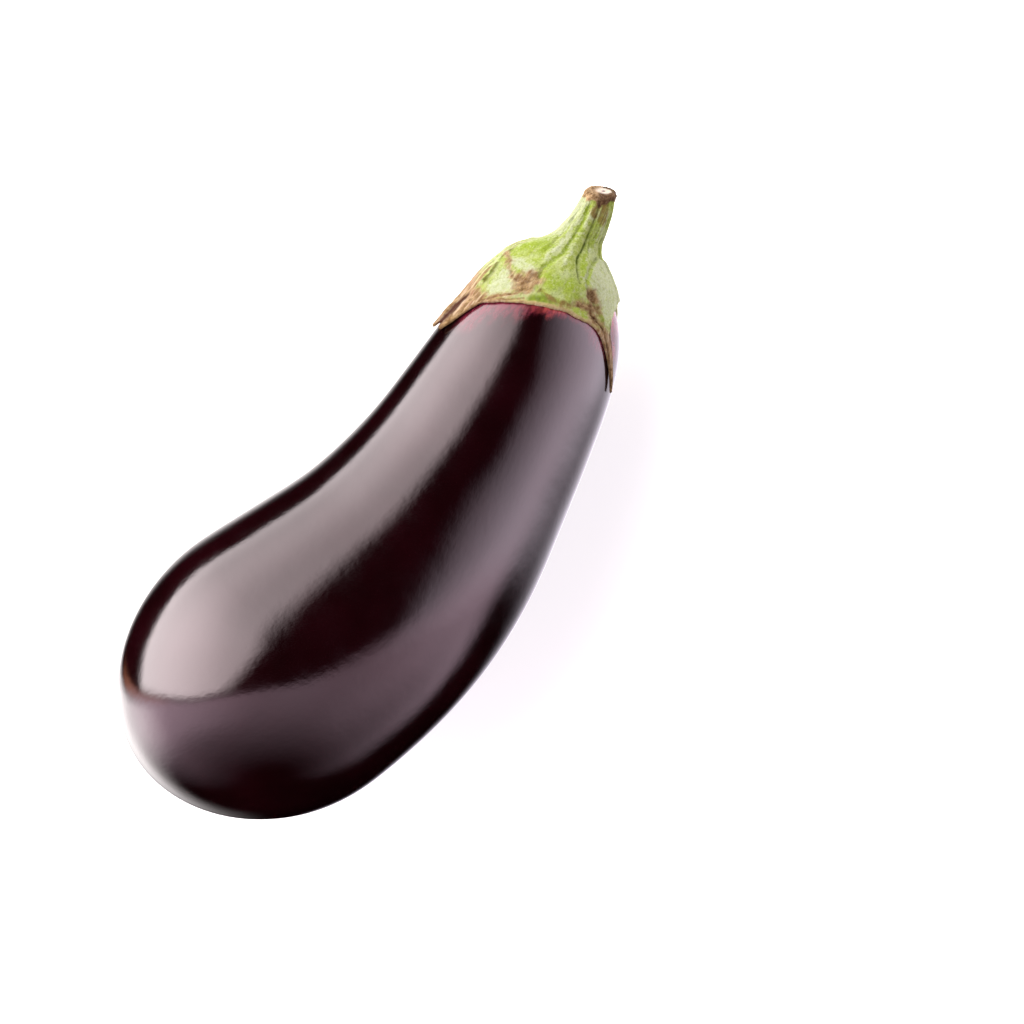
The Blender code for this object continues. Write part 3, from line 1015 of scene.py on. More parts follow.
# %% Lines of the stem
MAIN_GROOVE = laid(
    (222.3, 9), (218.5, 13), (214.8, 15), (211.0, 20), (207.6, 16), (204.3, 9), (201.6, 10),
    (198.9, 13), (197.1, 16),
)
SECOND_GROOVE = laid(
    (220.3, -20), (216.1, -15), (212.9, -13), (209.2, -11), (207.3, -11), (204.6, -10),
    (202.3, -12), (200.2, -16), (197.7, -20), (195.5, -19), (193.7, -18),
)
THIRD_GROOVE = laid(
    (219.5, -57), (213.2, -47), (210.1, -42), (207.6, -38), (204.6, -31), (201.7, -31),
)
MIDDLE_RIDGE = laid(
    (220.1, -6), (217.5, -4), (211.7, 1), (208.9, -1), (206.0, -2), (203.1, -2), (199.7, -5),
)
LEFT_RIDGE = laid(
    (221.0, -38), (214.1, -31), (210.7, -27), (207.6, -23), (204.4, -21), (200.2, -24),
)
RIGHT_RIDGE = laid(
    (221.0, 46), (217.6, 49), (211.7, 46), (206.6, 33), (201.8, 22), (199.2, 20), (197.0, 24),
)
GREEN_STRIPE = laid((218.7, 29), (211.0, 35), (205.1, 21), (201.4, 15), (198.5, 18))
BACK_GROOVES = [
    laid((223.0, azimuth), (214.0, azimuth), (206.0, azimuth + lean), (197.0, azimuth + 2 * lean))
    for azimuth, lean in (
        (-84, -2), (68, 5), (97, 2), (130, 5), (165, -3), (200, 4), (236, -4),
    )
]
BACK_RIDGES = [
    laid((222.0, azimuth), (212.0, azimuth), (204.0, azimuth + lean), (196.0, azimuth + 2 * lean))
    for azimuth, lean in ((82, 4), (113, 3), (148, 1), (183, 0), (218, -2), (254, -3))
]
STAIN = [
    laid((223.6, 2), (220.2, 0), (218.4, 4)),
    laid((223.4, 24), (221.5, 29), (219.5, 33), (216.9, 37)),
    laid((222.6, 8), (222.4, 30)),
]
print("main groove has", len(MAIN_GROOVE), "points")

# %% Lines of the sepals
FLAP_BORDER = laid(
    (206.7, 54), (203.3, 31), (200.5, 24), (198.8, 23), (196.3, 26), (194.7, 32), (192.4, 38),
    (190.0, 44),
)
RIGHT_PATCH = [
    laid((195.8, 30), (194.3, 31), (192.3, 31.5), (190.8, 33), (189.5, 36)),
    laid((191.2, 20), (191.6, 27), (192.4, 34), (192.2, 38)),
]
LEFT_PATCH = [
    laid((187.9, -30), (189.4, -29), (190.8, -27), (192.1, -25), (193.4, -22)),
    laid((191.0, -33), (190.0, -28), (189.2, -23)),
]
LEFT_VEIN = laid(
    (189.9, -31), (190.7, -37), (191.8, -42), (193.3, -49), (194.6, -54), (195.6, -61),
    (196.5, -67),
)
CREASE = laid(
    (189.5, -24), (186.8, -27), (184.4, -35), (181.9, -43), (179.5, -48), (176.4, -53),
    (173.3, -58), (170.3, -63), (167.5, -67),
)
LOWER_CREASE = laid((186.0, -20), (184.2, -27), (181.9, -36), (179.6, -44), (177.0, -50))
DOTTED_VEIN = laid(
    (197.5, -64), (194.5, -64), (192.3, -62), (190.7, -60), (187.8, -60), (186.2, -61),
    (184.6, -62), (182.9, -61.5), (181.2, -62),
)
TIP_GAP = laid((179.0, -69), (177.0, -70), (175.0, -70.5))
TIP_GAP_LOW = laid((175.0, -70.5), (172.0, -71), (169.0, -72), (167.0, -72))
OUTER_LINE = laid(
    (200.5, -80), (195.0, -83), (190.0, -84), (185.5, -83), (181.0, -82), (176.0, -82),
    (171.0, -82),
)
PALE_CORNER = [laid((191.0, -46), (188.3, -46), (185.7, -48)), laid((187.6, -38), (184.4, -46))]
PALE_PATCH = laid((195.6, -48), (195.0, -38), (194.6, -30))
OUTER_BAND = laid((199.5, -80), (194.4, -84), (188.6, -82), (182.2, -76), (177.8, -72))
FRONT_LINE = laid((190.2, -12), (189.4, -6), (188.9, 1), (189.4, 8), (190.2, 15))
TAIL_VEIN = laid(
    (190.2, 32), (188.9, 40), (186.5, 48), (183.8, 53), (180.5, 59), (177.7, 64), (173.6, 71),
)
CROWN_FOLD = laid((198.1, -20), (196.0, -19), (193.7, -18))
VIVID_PARTS = [
    laid((200.0, -66), (201.6, -52), (203.0, -38)), laid((194.4, -14), (194.2, -2), (195.2, 8)),
]
VIVID_LOW = laid((186.9, -14), (187.7, -8), (187.9, -2))
BACK_VEINS = [
    laid((204.0, azimuth), (194.0, azimuth + 1), (184.0, azimuth - 1), (tip, azimuth))
    for azimuth, tip in ((-82, 172.0), (141, 173.0), (213, 170.0))
]
BAY_PATCHES = [
    laid((edge, azimuth), (edge + 3.0, azimuth)) for edge, azimuth in (
        (190.5, -111), (196.8, 96), (189.5, 177),
    )
]
print("crease has", len(CREASE), "points")

# %% [markdown]
# ## Relief
# Sepals are fleshy and uneven: veins stand up, the stem is ribbed, worn places are sunken, the
# dried tips are wrinkled, and the right sepal lies over its neighbour like a flap. A displacement
# in the shader would show only in the render, so the grid points are moved along their normals,
# by heights that are sums of the marks and of noise.

# %% Where each grid point lies


def grid_normals(points):
    """Outward directions of the grid."""
    across = np.roll(points, -1, axis=1) - np.roll(points, 1, axis=1)
    upwards = np.gradient(points, axis=0)
    normal = np.cross(across, upwards)
    return normal / np.maximum(np.linalg.norm(normal, axis=-1, keepdims=True), 1e-9)


row_number = np.arange(grid.shape[0])[:, None] * np.ones(COLUMNS)
along = grid[..., 2]
azimuth = np.degrees(np.arctan2(-grid[..., 0], grid[..., 1]))
azimuth[along > 206.0] = np.broadcast_to(columns, along.shape)[along > 206.0]
sideways = np.abs(azimuth)
sticking_out = step_between(row_number, INNER_ROWS, OUTER_START + 5)
on_stem = step_between(along, 203.0, 211.0) * (row_number < CUT_START)
on_sepals = 1.0 - step_between(along, 200.0, 208.0)
on_cut = (row_number >= CUT_START).astype(float)
cut_gap = cut_height(grid[..., 0], grid[..., 1]) - along
cut_share = np.hypot(grid[..., 0] - CUT_MIDDLE, grid[..., 1]) / (CUT_RADIUS - CUT_ROUNDING)
pith_share = np.hypot(grid[..., 0] - PITH_PLACE[0], grid[..., 1] - PITH_PLACE[1]) / PITH_RADIUS
# Fibres run down the stem and fan out over the sepals, so their noise is read in turned rings.
fibre_place = around(11.0, columns[None, :], along * 0.07)
fibres = noise(fibre_place, 0.8, 11) + 0.6 * noise(fibre_place, 0.35, 12)
rough_place = noise(grid, 2.4, 41) * 0.5 + noise(grid, 0.9, 42) * 0.5

# The right sepal lies over its neighbour, beyond its border.
border_azimuth = np.degrees(np.arctan2(-FLAP_BORDER[:, 0], FLAP_BORDER[:, 1]))
border_at = np.interp(along, FLAP_BORDER[::-1, 2], border_azimuth[::-1])
flap_gap = distance_to(FLAP_BORDER, 40.0)
flap = np.where((azimuth > border_at) & (azimuth < 150.0), flap_gap, -flap_gap)
flap_area = window(azimuth, 0.0, 1.0, 85.0, 125.0) * window(along, 184.0, 193.0, 205.6, 207.2)
print("flap covers", int((flap_area * (flap > 0) > 0.5).sum()), "grid points")

# %% Heights of the lines
BELOW_CREASE = CREASE + np.array([0.0, 0.0, -1.3])
# Each line with its width and its height in millimetres. A groove's height is below 0.
LINE_HEIGHTS = [
    (MAIN_GROOVE, 0.5, -0.5), (MAIN_GROOVE, 1.4, -0.25), (SECOND_GROOVE, 0.7, -0.4),
    (THIRD_GROOVE, 0.6, -0.3), (MIDDLE_RIDGE, 0.9, 0.3), (LEFT_RIDGE, 1.2, 0.15),
    (RIGHT_RIDGE, 1.0, 0.35), (GREEN_STRIPE, 0.9, -0.15), (CREASE, 0.5, -0.45),
    (LOWER_CREASE, 0.5, -0.25), (BELOW_CREASE, 0.8, 0.35), (LEFT_VEIN, 1.3, 0.35),
    (LEFT_VEIN, 0.5, -0.3), (PALE_PATCH, 2.4, 0.5), (FRONT_LINE, 0.6, -0.3),
    (CROWN_FOLD, 0.8, -0.3), (TAIL_VEIN, 0.45, -0.3),
]
for lines, width, height in (
    (BACK_GROOVES, 0.7, -0.5), (BACK_RIDGES, 1.3, 0.3), (BACK_VEINS, 2.2, 0.7),
    (BACK_VEINS, 0.6, -0.3),
):
    LINE_HEIGHTS += [(line, width, height) for line in lines]
line_relief = sum(height * mark(line, width) for line, width, height in LINE_HEIGHTS)
print(len(LINE_HEIGHTS), "grooves and ridges, the deepest", line_relief.min().round(2), "mm")

# %% Relief of the calyx and stem


def calyx_relief():
    """Height in millimetres to push each grid point out."""
    height = line_relief + 0.4 * mark(DOTTED_VEIN, 0.9) * (1.0 + 0.8 * noise(grid, 1.1, 24))
    height -= 0.3 * marks(2.6, *PALE_CORNER)
    height += 0.4 * marks(3.4, *VIVID_PARTS)
    worn = np.maximum(stained(2.0, *LEFT_PATCH), stained(1.8, *RIGHT_PATCH))
    height -= worn * (0.4 + 0.35 * noise(grid, 0.8, 25))
    height -= 0.4 * marks(2.4, *BAY_PATCHES)
    height -= 0.55 * np.maximum(mark(TIP_GAP, 1.6), mark(TIP_GAP_LOW, 2.6))
    height += 1.2 * window(along, 181.0, 192.0, 198.0, 207.0) * window(azimuth, -112, -88, -62, -38)
    height -= 0.5 * window(along, 164.0, 168.0, 178.0, 184.0) * window(azimuth, -112, -96, -78, -72)
    step = step_between(flap, -0.2, 0.7)
    swell = window(along, 194.0, 200.0, 203.0, 208.0) * window(azimuth, 32.0, 58.0, 85.0, 115.0)
    lies_low = 1.0 - 0.8 * step_between(sideways, 40.0, 62.0) * step_between(along, 202.0, 196.0)
    height += (0.7 * flap_area * lies_low + 0.45 * swell) * step
    height -= 0.25 * np.exp(-((flap + 0.4) / 0.6) ** 2) * flap_area
    height += 0.08 * fibres * (0.8 + 1.2 * on_stem)
    dried = step_between(along, 184.0, 174.0)
    height += 0.2 * noise(around(MIDDLE_RADIUS, azimuth, along * 0.2), 1.1, 28) * dried
    height += 0.12 * noise(around(MIDDLE_RADIUS, azimuth, along * 0.3), 0.5, 29) * dried
    height += 0.2 * noise(grid, 6.0, 21) * on_sepals
    height += (0.15 * noise(grid, 2.2, 22) + 0.06 * noise(grid, 0.8, 23)) * (1.0 - 0.7 * on_stem)
    collar = window(cut_gap, -0.5, 0.2, 1.2, 3.2) * (row_number > OUTER_START + SEPAL_ROWS)
    height += collar * (0.12 + 0.3 * noise(grid, 1.6, 26) + 0.2 * noise(grid, 0.6, 27))
    return height * sticking_out * (1.0 - on_cut)


relief = calyx_relief()
shaped = grid + grid_normals(grid) * relief[..., None]
# The cut is dished, with a rough face.
dish = -CUT_HOLLOW * step_between(cut_share, 1.0, 0.5) + 0.16 * noise(grid, 0.8, 31)
shaped[..., 2] += dish * on_cut
print("relief from", relief.min().round(2), "to", relief.max().round(2), "mm")

# %% Mesh of the calyx and stem


def closed_grid(name, rows, first_pole, last_pole):
    """Closed mesh from rows of points, with a pole at each end."""
    count = rows.shape[1]
    points = np.concatenate([[first_pole], rows.reshape(-1, 3), [last_pole]])
    ring = np.arange(count)
    after = (ring + 1) % count
    low = 1 + (np.arange(rows.shape[0] - 1) * count)[:, None]
    quads = np.stack(
        [low + ring, low + after, low + count + after, low + count + ring], axis=-1
    ).reshape(-1, 4)
    last = len(points) - 1
    top = last - count
    faces = [(0, 1 + b, 1 + a) for a, b in zip(ring, after)] + quads.tolist()
    faces += [(top + a, top + b, last) for a, b in zip(ring, after)]
    mesh = bpy.data.meshes.new(name)
    mesh.from_pydata(to_frame(points).tolist(), [], faces)
    mesh.validate()
    mesh.polygons.foreach_set("use_smooth", [True] * len(mesh.polygons))
    return mesh


def with_poles(values):
    """Values for every mesh point, for a grid of values."""
    flat = values.reshape((-1,) + values.shape[2:])
    return np.concatenate([flat[:1], flat, flat[-1:]])


inner_pole = (0.0, 0.0, FRUIT_LENGTH + GAP)
cut_pole = (CUT_MIDDLE, 0.0, cut_height(CUT_MIDDLE, 0.0) - CUT_HOLLOW)
calyx_mesh = closed_grid("calyx_and_stem", shaped, inner_pole, cut_pole)
print("calyx and stem:", len(calyx_mesh.polygons), "faces")

# %% [markdown]
# ## Where the calyx is green, pale, tan or brown
# A calyx dries from its edges and its worn spots. Every kind of colour gets a share between 0 and
# 1 at each grid point, made from the same lines and stored on the mesh for the shader. Some shares
# also carry painted light: painted shade in grooves, folds and gaps, and painted sheen and
# highlight on ridges and on the lit left side. Vertex painting by hand would give the same kind of
# data, but it can't be repeated or corrected.

# %% Helpers of the colour masks
above_edge = np.maximum(0.0, along - calyx_edge(columns)[None, :])
near_edge = np.exp(-(above_edge / 1.2) ** 2)
low_left = step_between(along + 2.0 * rough_place, 187.0, 179.0)
low_left = low_left * step_between(azimuth, -38.0, -52.0)
outer_band = window(azimuth, -96.0, -88.0, -68.0, -63.0) * on_sepals
dotted = stained(1.6, DOTTED_VEIN) * step_between(rough_place, -0.55, -0.15)
tail = step_between(azimuth, 34.0, 44.0) * step_between(azimuth, 100.0, 84.0)
tips = step_between(along, 180.0, 168.0)


def strongest(*shares):
    """The largest of several shares at each grid point."""
    return functools.reduce(np.maximum, shares)


print("calyx rises", above_edge.max().round(1), "mm above its edge")

# %% Masks of what has dried
streaky = noise(around(MIDDLE_RADIUS, azimuth, along * 0.18), 1.3, 43)
fine_streaks = noise(around(MIDDLE_RADIUS, azimuth, along * 0.12), 0.8, 44)
fine_streaks = step_between(fine_streaks, 0.0, 0.4)
brown = strongest(
    0.8 * stained(2.3, *LEFT_PATCH), 0.95 * stained(1.7, *RIGHT_PATCH),
    0.95 * mark(CREASE, 0.65), 0.7 * mark(LOWER_CREASE, 0.45),
    0.75 * stained(0.9, LEFT_VEIN), 0.4 * dotted, 0.9 * stained(1.3, OUTER_LINE),
    0.85 * fine_streaks * np.maximum(low_left, outer_band),
    tail * step_between(along, 188.0, 182.0) * (0.4 + 0.45 * streaky),
    0.9 * stained(1.3, TAIL_VEIN), 0.85 * stained(2.2, *BAY_PATCHES),
    near_edge * (0.25 + 0.5 * tips) + tips * (0.35 + 0.5 * streaky),
)
tan = strongest(
    0.85 * low_left, 0.8 * mark(CREASE, 1.9) * step_between(along, 190.0, 183.0),
    0.6 * near_edge,
    0.75 * outer_band * step_between(along + 2.0 * rough_place, 193.0, 184.0),
    0.8 * step_between(along, 186.0, 180.0), 0.9 * tail * step_between(along, 190.5, 186.0),
    0.8 * stained(3.2, *LEFT_PATCH), 0.6 * stained(2.3, *RIGHT_PATCH),
    0.6 * stained(1.6, LEFT_VEIN),
)
# Painted shade: the gap of the split left tip is darkened. Dark lines also run along the tail vein
# and in the right patch.
tip_gap_shade = np.maximum(mark(TIP_GAP, 2.2), mark(TIP_GAP_LOW, 4.0))
dark = strongest(
    tip_gap_shade * step_between(azimuth, -60.0, -66.0), 0.6 * mark(TAIL_VEIN, 0.45),
    0.5 * stained(0.8, *RIGHT_PATCH[:1]),
)
rim = np.exp(-(above_edge / 1.5) ** 4) * window(azimuth, -62.0, -50.0, 38.0, 46.0)
stain = np.maximum(0.95 * stained(1.3, *STAIN), 0.85 * stained(1.1, FRONT_LINE))
collar = step_between(cut_gap + 1.6 * rough_place, 3.6, 1.8)
collar = collar * (row_number > OUTER_START + SEPAL_ROWS)
cork = collar * (1.0 - on_cut) + on_cut
print("brown covers", round(float((brown > 0.5).mean() * 100)), "% of the grid")

# %% Masks of what is green
# Pale down on the corner, the patch and the outer band, and painted sheen and highlight: along the
# ridges, on the stem's left side, on the left and back sides and on the flap.
pale_and_sheen = strongest(
    0.9 * stained(2.6, *PALE_CORNER), 0.8 * stained(2.3, PALE_PATCH),
    0.7 * stained(1.5, LEFT_RIDGE), 0.65 * stained(0.8, MIDDLE_RIDGE, RIGHT_RIDGE),
    on_stem * 0.8 * step_between(azimuth, -30.0, -50.0),
    0.75 * step_between(flap, 0.0, 1.2) * flap_area, 0.6 * stained(2.4, OUTER_BAND),
    0.45 * step_between(sideways, 85.0, 110.0), 0.5 * step_between(azimuth, -50.0, -72.0),
)
vivid = strongest(
    0.8 * stained(3.4, *VIVID_PARTS), 0.8 * stained(2.2, VIVID_LOW),
    0.8 * stained(1.0, GREEN_STRIPE, SECOND_GROOVE),
)
broken_line = 0.7 + 0.9 * rough_place
line_strength = 0.4 + 0.42 * window(along, 197.0, 201.0, 206.0, 213.0)
# Dark green of the dotted vein and the low front part, and painted shade along the stem's grooves,
# in the crown fold and under the border of the flap.
deep_green_and_shade = strongest(
    mark(MAIN_GROOVE, 0.42) * broken_line * line_strength, 0.3 * stained(0.6, SECOND_GROOVE),
    0.85 * dotted, 0.55 * stained(2.4, VIVID_LOW), 0.4 * stained(0.5, THIRD_GROOVE, CROWN_FOLD),
    0.5 * stained(0.45, *BACK_GROOVES),
    0.25 * np.exp(-((flap + 0.35) / 0.4) ** 2) * flap_area,
)
print("pale covers", round(float((pale_and_sheen > 0.5).mean() * 100)), "% of the grid")

# %% Store the masks
for mask_name, mask in (
    ("brown", brown), ("tan", tan), ("pale_and_sheen", pale_and_sheen), ("vivid", vivid), ("deep_green_and_shade", deep_green_and_shade),
    ("dark", dark), ("rim", rim), ("stain", stain), ("cork", cork),
):
    store(calyx_mesh, mask_name, with_poles(np.clip(mask, 0.0, 1.0)))
    print(mask_name, round(float(mask.mean()), 3))
store(calyx_mesh, "pith_share", with_poles(np.where(on_cut > 0, pith_share, 2.0)))
# Painted shade: the cork rim of the cut is darker towards the right.
store(calyx_mesh, "shade", with_poles(step_between(azimuth, -35.0, 15.0)))
store(calyx_mesh, "fibre", with_poles(fibre_place))
store(calyx_mesh, "streak", with_poles(around(MIDDLE_RADIUS, azimuth, along * 0.15)))

# %% [markdown]
# ## Calyx and stem material
# Fresh sepals are yellow-green and covered in short whitish down; where they were rubbed or
# dried they turn tan and brown. Part of the pale coat is painted sheen and painted highlight, and
# part of the deep green and the dark brown is painted shade. The masks above say where, and noise
# breaks their borders up, so that no stain ends in a clean line. The cut end shows cream pith
# inside a dark corky rim.

# %% Colours of the calyx and stem
GREEN_SHADE = (0.17, 0.23, 0.035, 1.0)
GREEN = (0.285, 0.355, 0.060, 1.0)
GREEN_DULL = (0.37, 0.43, 0.15, 1.0)
GREEN_VIVID = (0.245, 0.335, 0.030, 1.0)
GREEN_DEEP_AND_SHADE = (0.085, 0.125, 0.015, 1.0)
PALE_DOWN_AND_SHEEN = (0.43, 0.47, 0.285, 1.0)
PAPER_TAN = (0.26, 0.140, 0.075, 1.0)
PAPER_PALE = (0.48, 0.375, 0.25, 1.0)
RIM_YELLOW = (0.38, 0.31, 0.13, 1.0)
STAIN_OLIVE = (0.20, 0.140, 0.043, 1.0)
RIM_TAN = (0.52, 0.36, 0.19, 1.0)
RIM_BROWN = (0.22, 0.130, 0.060, 1.0)
PITH_HOLLOW_SHADE = (0.33, 0.26, 0.23, 1.0)
DEAD_BROWN = (0.150, 0.084, 0.034, 1.0)
DRY_BROWN = (0.33, 0.225, 0.105, 1.0)
DARK_BROWN_AND_SHADE = (0.040, 0.013, 0.006, 1.0)
PITH_CREAM = (0.76, 0.67, 0.55, 1.0)
print("cut is", PITH_CREAM[:3], "in the middle and", RIM_BROWN[:3], "at its rim")

# %% Helpers of the calyx material


def broken(tree, name, spread, source, none=0.15, full=0.85):
    """A stored mask with its border broken up by noise."""
    uneven = math_node(tree, "MULTIPLY_ADD", source, spread, -0.5 * spread)
    return ramp_up(tree, total_of(tree, stored(tree, name)["Fac"], uneven), none, full)


def layered(tree, colour, *coats):
    """A colour with coats over it, each given as its share and its colour."""
    for share, coat in coats:
        colour = mix_colours(tree, share, colour, coat)
    return colour


def cut_end(tree, place, blotch):
    """Colour of the cut with its pith and its corky rim, both with painted shade, and the height of
    the crust.
    """
    cork, crust = cork_look(tree, place, RIM_TAN, RIM_BROWN)
    # Painted shade darkens the rim towards the right.
    shaded = product_of(tree, stored(tree, "shade")["Fac"], 0.75)
    cork = mix_colours(tree, shaded, cork, DARK_BROWN_AND_SHADE)
    # Painted shade in the middle of the pith, where it is hollow.
    inside = math_node(tree, "MULTIPLY_ADD", blotch, 0.5, stored(tree, "pith_share")["Fac"])
    pith = mix_colours(tree, ramp_up(tree, inside, 0.45, 0.62), PITH_HOLLOW_SHADE, PITH_CREAM)
    return mix_colours(tree, ramp_up(tree, inside, 0.95, 1.6), pith, cork), crust


# %% Calyx material


def calyx_material():
    """Downy green sepals with pale, tan and brown parts, painted shade and painted sheen, and the
    corky cut end.
    """
    material, tree, shader = new_material("calyx green")
    place = add_node(tree, "ShaderNodeTexCoord").outputs["Object"]
    broad = texture_noise(tree, place, 150.0, 3.0, 0.5)
    blotch = texture_noise(tree, place, 420.0, 4.0, 0.6)
    dapple = texture_noise(tree, place, 900.0, 3.0, 0.6)
    mottle = texture_noise(tree, place, 640.0, 3.0, 0.7)
    speck = texture_noise(tree, place, 1800.0, 3.0, 0.7)
    strand = texture_noise(tree, stored(tree, "fibre")["Vector"], 1.6, 4.0, 0.65)
    streak = texture_noise(tree, stored(tree, "streak")["Vector"], 0.9, 4.0, 0.65)
    paper = mix_colours(tree, ramp_up(tree, streak, 0.38, 0.62), PAPER_TAN, PAPER_PALE)
    dead = mix_colours(tree, ramp_up(tree, mottle, 0.38, 0.62), DEAD_BROWN, DRY_BROWN)
    end, crust = cut_end(tree, place, blotch)
    on_cork = broken(tree, "cork", 1.1, blotch)
    colour = layered(
        tree, GREEN,
        (ramp_up(tree, blotch, 0.4, 0.62), GREEN_DULL),
        (ramp_up(tree, broad, 0.5, 0.68, 0.0, 0.7), GREEN_VIVID),
        (ramp_up(tree, broad, 0.5, 0.34, 0.0, 0.5), PALE_DOWN_AND_SHEEN),
        (broken(tree, "vivid", 1.2, blotch), GREEN_VIVID),
        (ramp_up(tree, dapple, 0.46, 0.28, 0.0, 0.5), GREEN_SHADE),
        (ramp_up(tree, dapple, 0.55, 0.72, 0.0, 0.5), PALE_DOWN_AND_SHEEN),
        (ramp_up(tree, strand, 0.52, 0.78, 0.0, 0.35), PALE_DOWN_AND_SHEEN),
        # Pale down, partly painted sheen and highlight.
        (broken(tree, "pale_and_sheen", 1.5, dapple), PALE_DOWN_AND_SHEEN),
        (ramp_up(tree, mottle, 0.53, 0.66, 0.0, 0.6), GREEN_DULL),
        (ramp_up(tree, mottle, 0.45, 0.32, 0.0, 0.45), GREEN),
        # Deep green, partly painted shade in grooves and folds.
        (broken(tree, "deep_green_and_shade", 0.9, dapple), GREEN_DEEP_AND_SHADE),
        (broken(tree, "rim", 1.3, blotch), RIM_YELLOW),
        (broken(tree, "tan", 1.2, blotch), paper),
        (broken(tree, "brown", 1.3, dapple, 0.05, 0.95), dead),
        # Painted shade in the gap of the split tip, and dark lines along the tail vein and in the
        # right patch.
        (broken(tree, "dark", 1.2, dapple), DARK_BROWN_AND_SHADE),
        (broken(tree, "stain", 1.9, strand, 0.1, 1.0), STAIN_OLIVE),
        (on_cork, end),
    )
    light = ramp_up(tree, speck, 0.25, 0.75, 0.8, 1.14)
    grey = add_node(tree, "ShaderNodeCombineColor", {0: light, 1: light, 2: light}).outputs[0]
    colour = mix_colours(tree, 1.0, colour, grey, "MULTIPLY")
    tree.links.new(colour, shader.inputs["Base Color"])
    tree.links.new(ramp_up(tree, blotch, 0.3, 0.7, 0.5, 0.7), shader.inputs["Roughness"])
    shader.inputs["Sheen Weight"].default_value = 0.03
    shader.inputs["Sheen Roughness"].default_value = 0.5
    shader.inputs["Specular IOR Level"].default_value = 0.03
    height = total_of(
        tree, product_of(tree, strand, 0.9), product_of(tree, speck, 0.5),
        product_of(tree, dapple, 0.5), product_of(tree, crust, on_cork, 1.2),
    )
    bump = add_node(tree, "ShaderNodeBump", {"Strength": 0.6, "Distance": 0.0005, "Height": height})
    tree.links.new(bump.outputs[0], shader.inputs["Normal"])
    return material


calyx_mesh.materials.append(calyx_material())
calyx = bpy.data.objects.new("calyx_and_stem", calyx_mesh)
bpy.context.scene.collection.objects.link(calyx)
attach(calyx, "root")
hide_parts("calyx", "stem")
print("calyx shader has", len(calyx_mesh.materials[0].node_tree.nodes), "nodes")

# %% [markdown]
# ## Camera
# The photograph looks almost straight down on the plane in which the fruit's axis curves, from
# far away, so a long lens is used. The picture is turned so that the blossom end is at the lower
# left and the stem at the top.

# %% Camera
PHOTO_TURN = math.radians(50.0)
CAMERA_DISTANCE = 1.280
CAMERA_LENS = 150.0
LOOKED_AT = (129.4, -37.1, 0.0)
level_x = LAYING @ np.array([1.0, 0.0, 0.0])
level_y = np.array([0.0, 1.0, 0.0])
to_right = math.cos(PHOTO_TURN) * level_x - math.sin(PHOTO_TURN) * level_y
to_top = math.sin(PHOTO_TURN) * level_x + math.cos(PHOTO_TURN) * level_y
to_camera = np.cross(to_right, to_top)
target = LAYING @ np.array(LOOKED_AT) * MM + SET_DOWN
camera_data = bpy.data.cameras.new("camera")
camera_data.lens = CAMERA_LENS
camera_data.sensor_width = 36.0
camera = bpy.data.objects.new("camera", camera_data)
bpy.context.scene.collection.objects.link(camera)
turned = Matrix(np.stack([to_right, to_top, to_camera], axis=1).tolist()).to_4x4()
camera.matrix_world = Matrix.Translation(Vector(target + to_camera * CAMERA_DISTANCE)) @ turned
bpy.context.scene.camera = camera
print("camera looks along", np.round(-to_camera, 3))

# %% [markdown]
# ## Studio
# A glossy dark thing shows its studio, so the studio is what gives the fruit its form: a large
# soft box on the left, a weaker one on the right, and a white table below. They are painted into
# the world by direction, which costs nothing to render and leaves no objects in the view. To the
# camera itself the world is plain white. Area lamps would do as well, but their edges are sharp.

# %% Directions seen from the camera
world = bpy.data.worlds.new("studio")
bpy.context.scene.world = world
world.use_nodes = True
bpy.context.scene.view_settings.view_transform = "Standard"
sky = world.node_tree
sky.nodes.clear()
added = functools.partial(total_of, sky)
product = functools.partial(product_of, sky)
ramp = functools.partial(ramp_up, sky)
direction = add_node(sky, "ShaderNodeTexCoord").outputs["Generated"]
rightness, topness, nearness = (
    vector_node(sky, "DOT_PRODUCT", direction, tuple(axis))
    for axis in (to_right, to_top, to_camera)
)
leftwards = math_node(sky, "ARCTAN2", product(rightness, -1.0), nearness)
leftwards = math_node(sky, "DEGREES", leftwards)
rightwards = product(leftwards, -1.0)
upwards = math_node(sky, "DEGREES", math_node(sky, "ARCSINE", topness))


def beyond(value, start):
    """How far a value is past a start, and 0 before it."""
    return math_node(sky, "MAXIMUM", math_node(sky, "SUBTRACT", value, start), 0.0)


def held(value, low, high):
    """A value kept between two limits."""
    return math_node(sky, "MINIMUM", math_node(sky, "MAXIMUM", value, low), high)


def band(value, rise, fall):
    """1 between two soft borders, each given as start and end."""
    return product(ramp(value, *rise), ramp(value, *fall, 1.0, 0.0))


# The table ends in a line that rises towards the back on the left.
TABLE_END = -16.0
horizon = added(
    TABLE_END, product(beyond(leftwards, 60.0), 0.22),
    product(held(beyond(rightwards, 12.0), 0.0, 18.0), -0.22),
)
over = math_node(sky, "SUBTRACT", upwards, horizon)
over = product(over, ramp(rightwards, 15.0, 40.0, 1.0, 0.4))
print("studio directions take", len(sky.nodes), "nodes")

# %% Soft boxes
LEFT_BOX_LIGHT = (7.0, 12.4)
RIGHT_BOX_LIGHT = (0.3, 5.2)
# The borders of the left box lean, because it stands at an angle.
front = added(
    leftwards, product(held(upwards, 0.0, 14.0), 0.5), product(held(upwards, -16.0, 0.0), 0.9),
)
rear = added(
    leftwards, product(beyond(upwards, 18.0), -0.42),
    product(held(upwards, -10.0, 14.0), -0.28), 4.0,
)
left_box = product(
    ramp(front, 14.0, 33.0), ramp(rear, 109.0, 117.0, 1.0, 0.0), ramp(over, 0.0, 5.0),
    ramp(upwards, 18.0, 75.0, 1.0, 0.4), ramp(leftwards, 22.0, 76.0, *LEFT_BOX_LIGHT),
    ramp(leftwards, 80.0, 112.0, 1.0, 0.78),
)
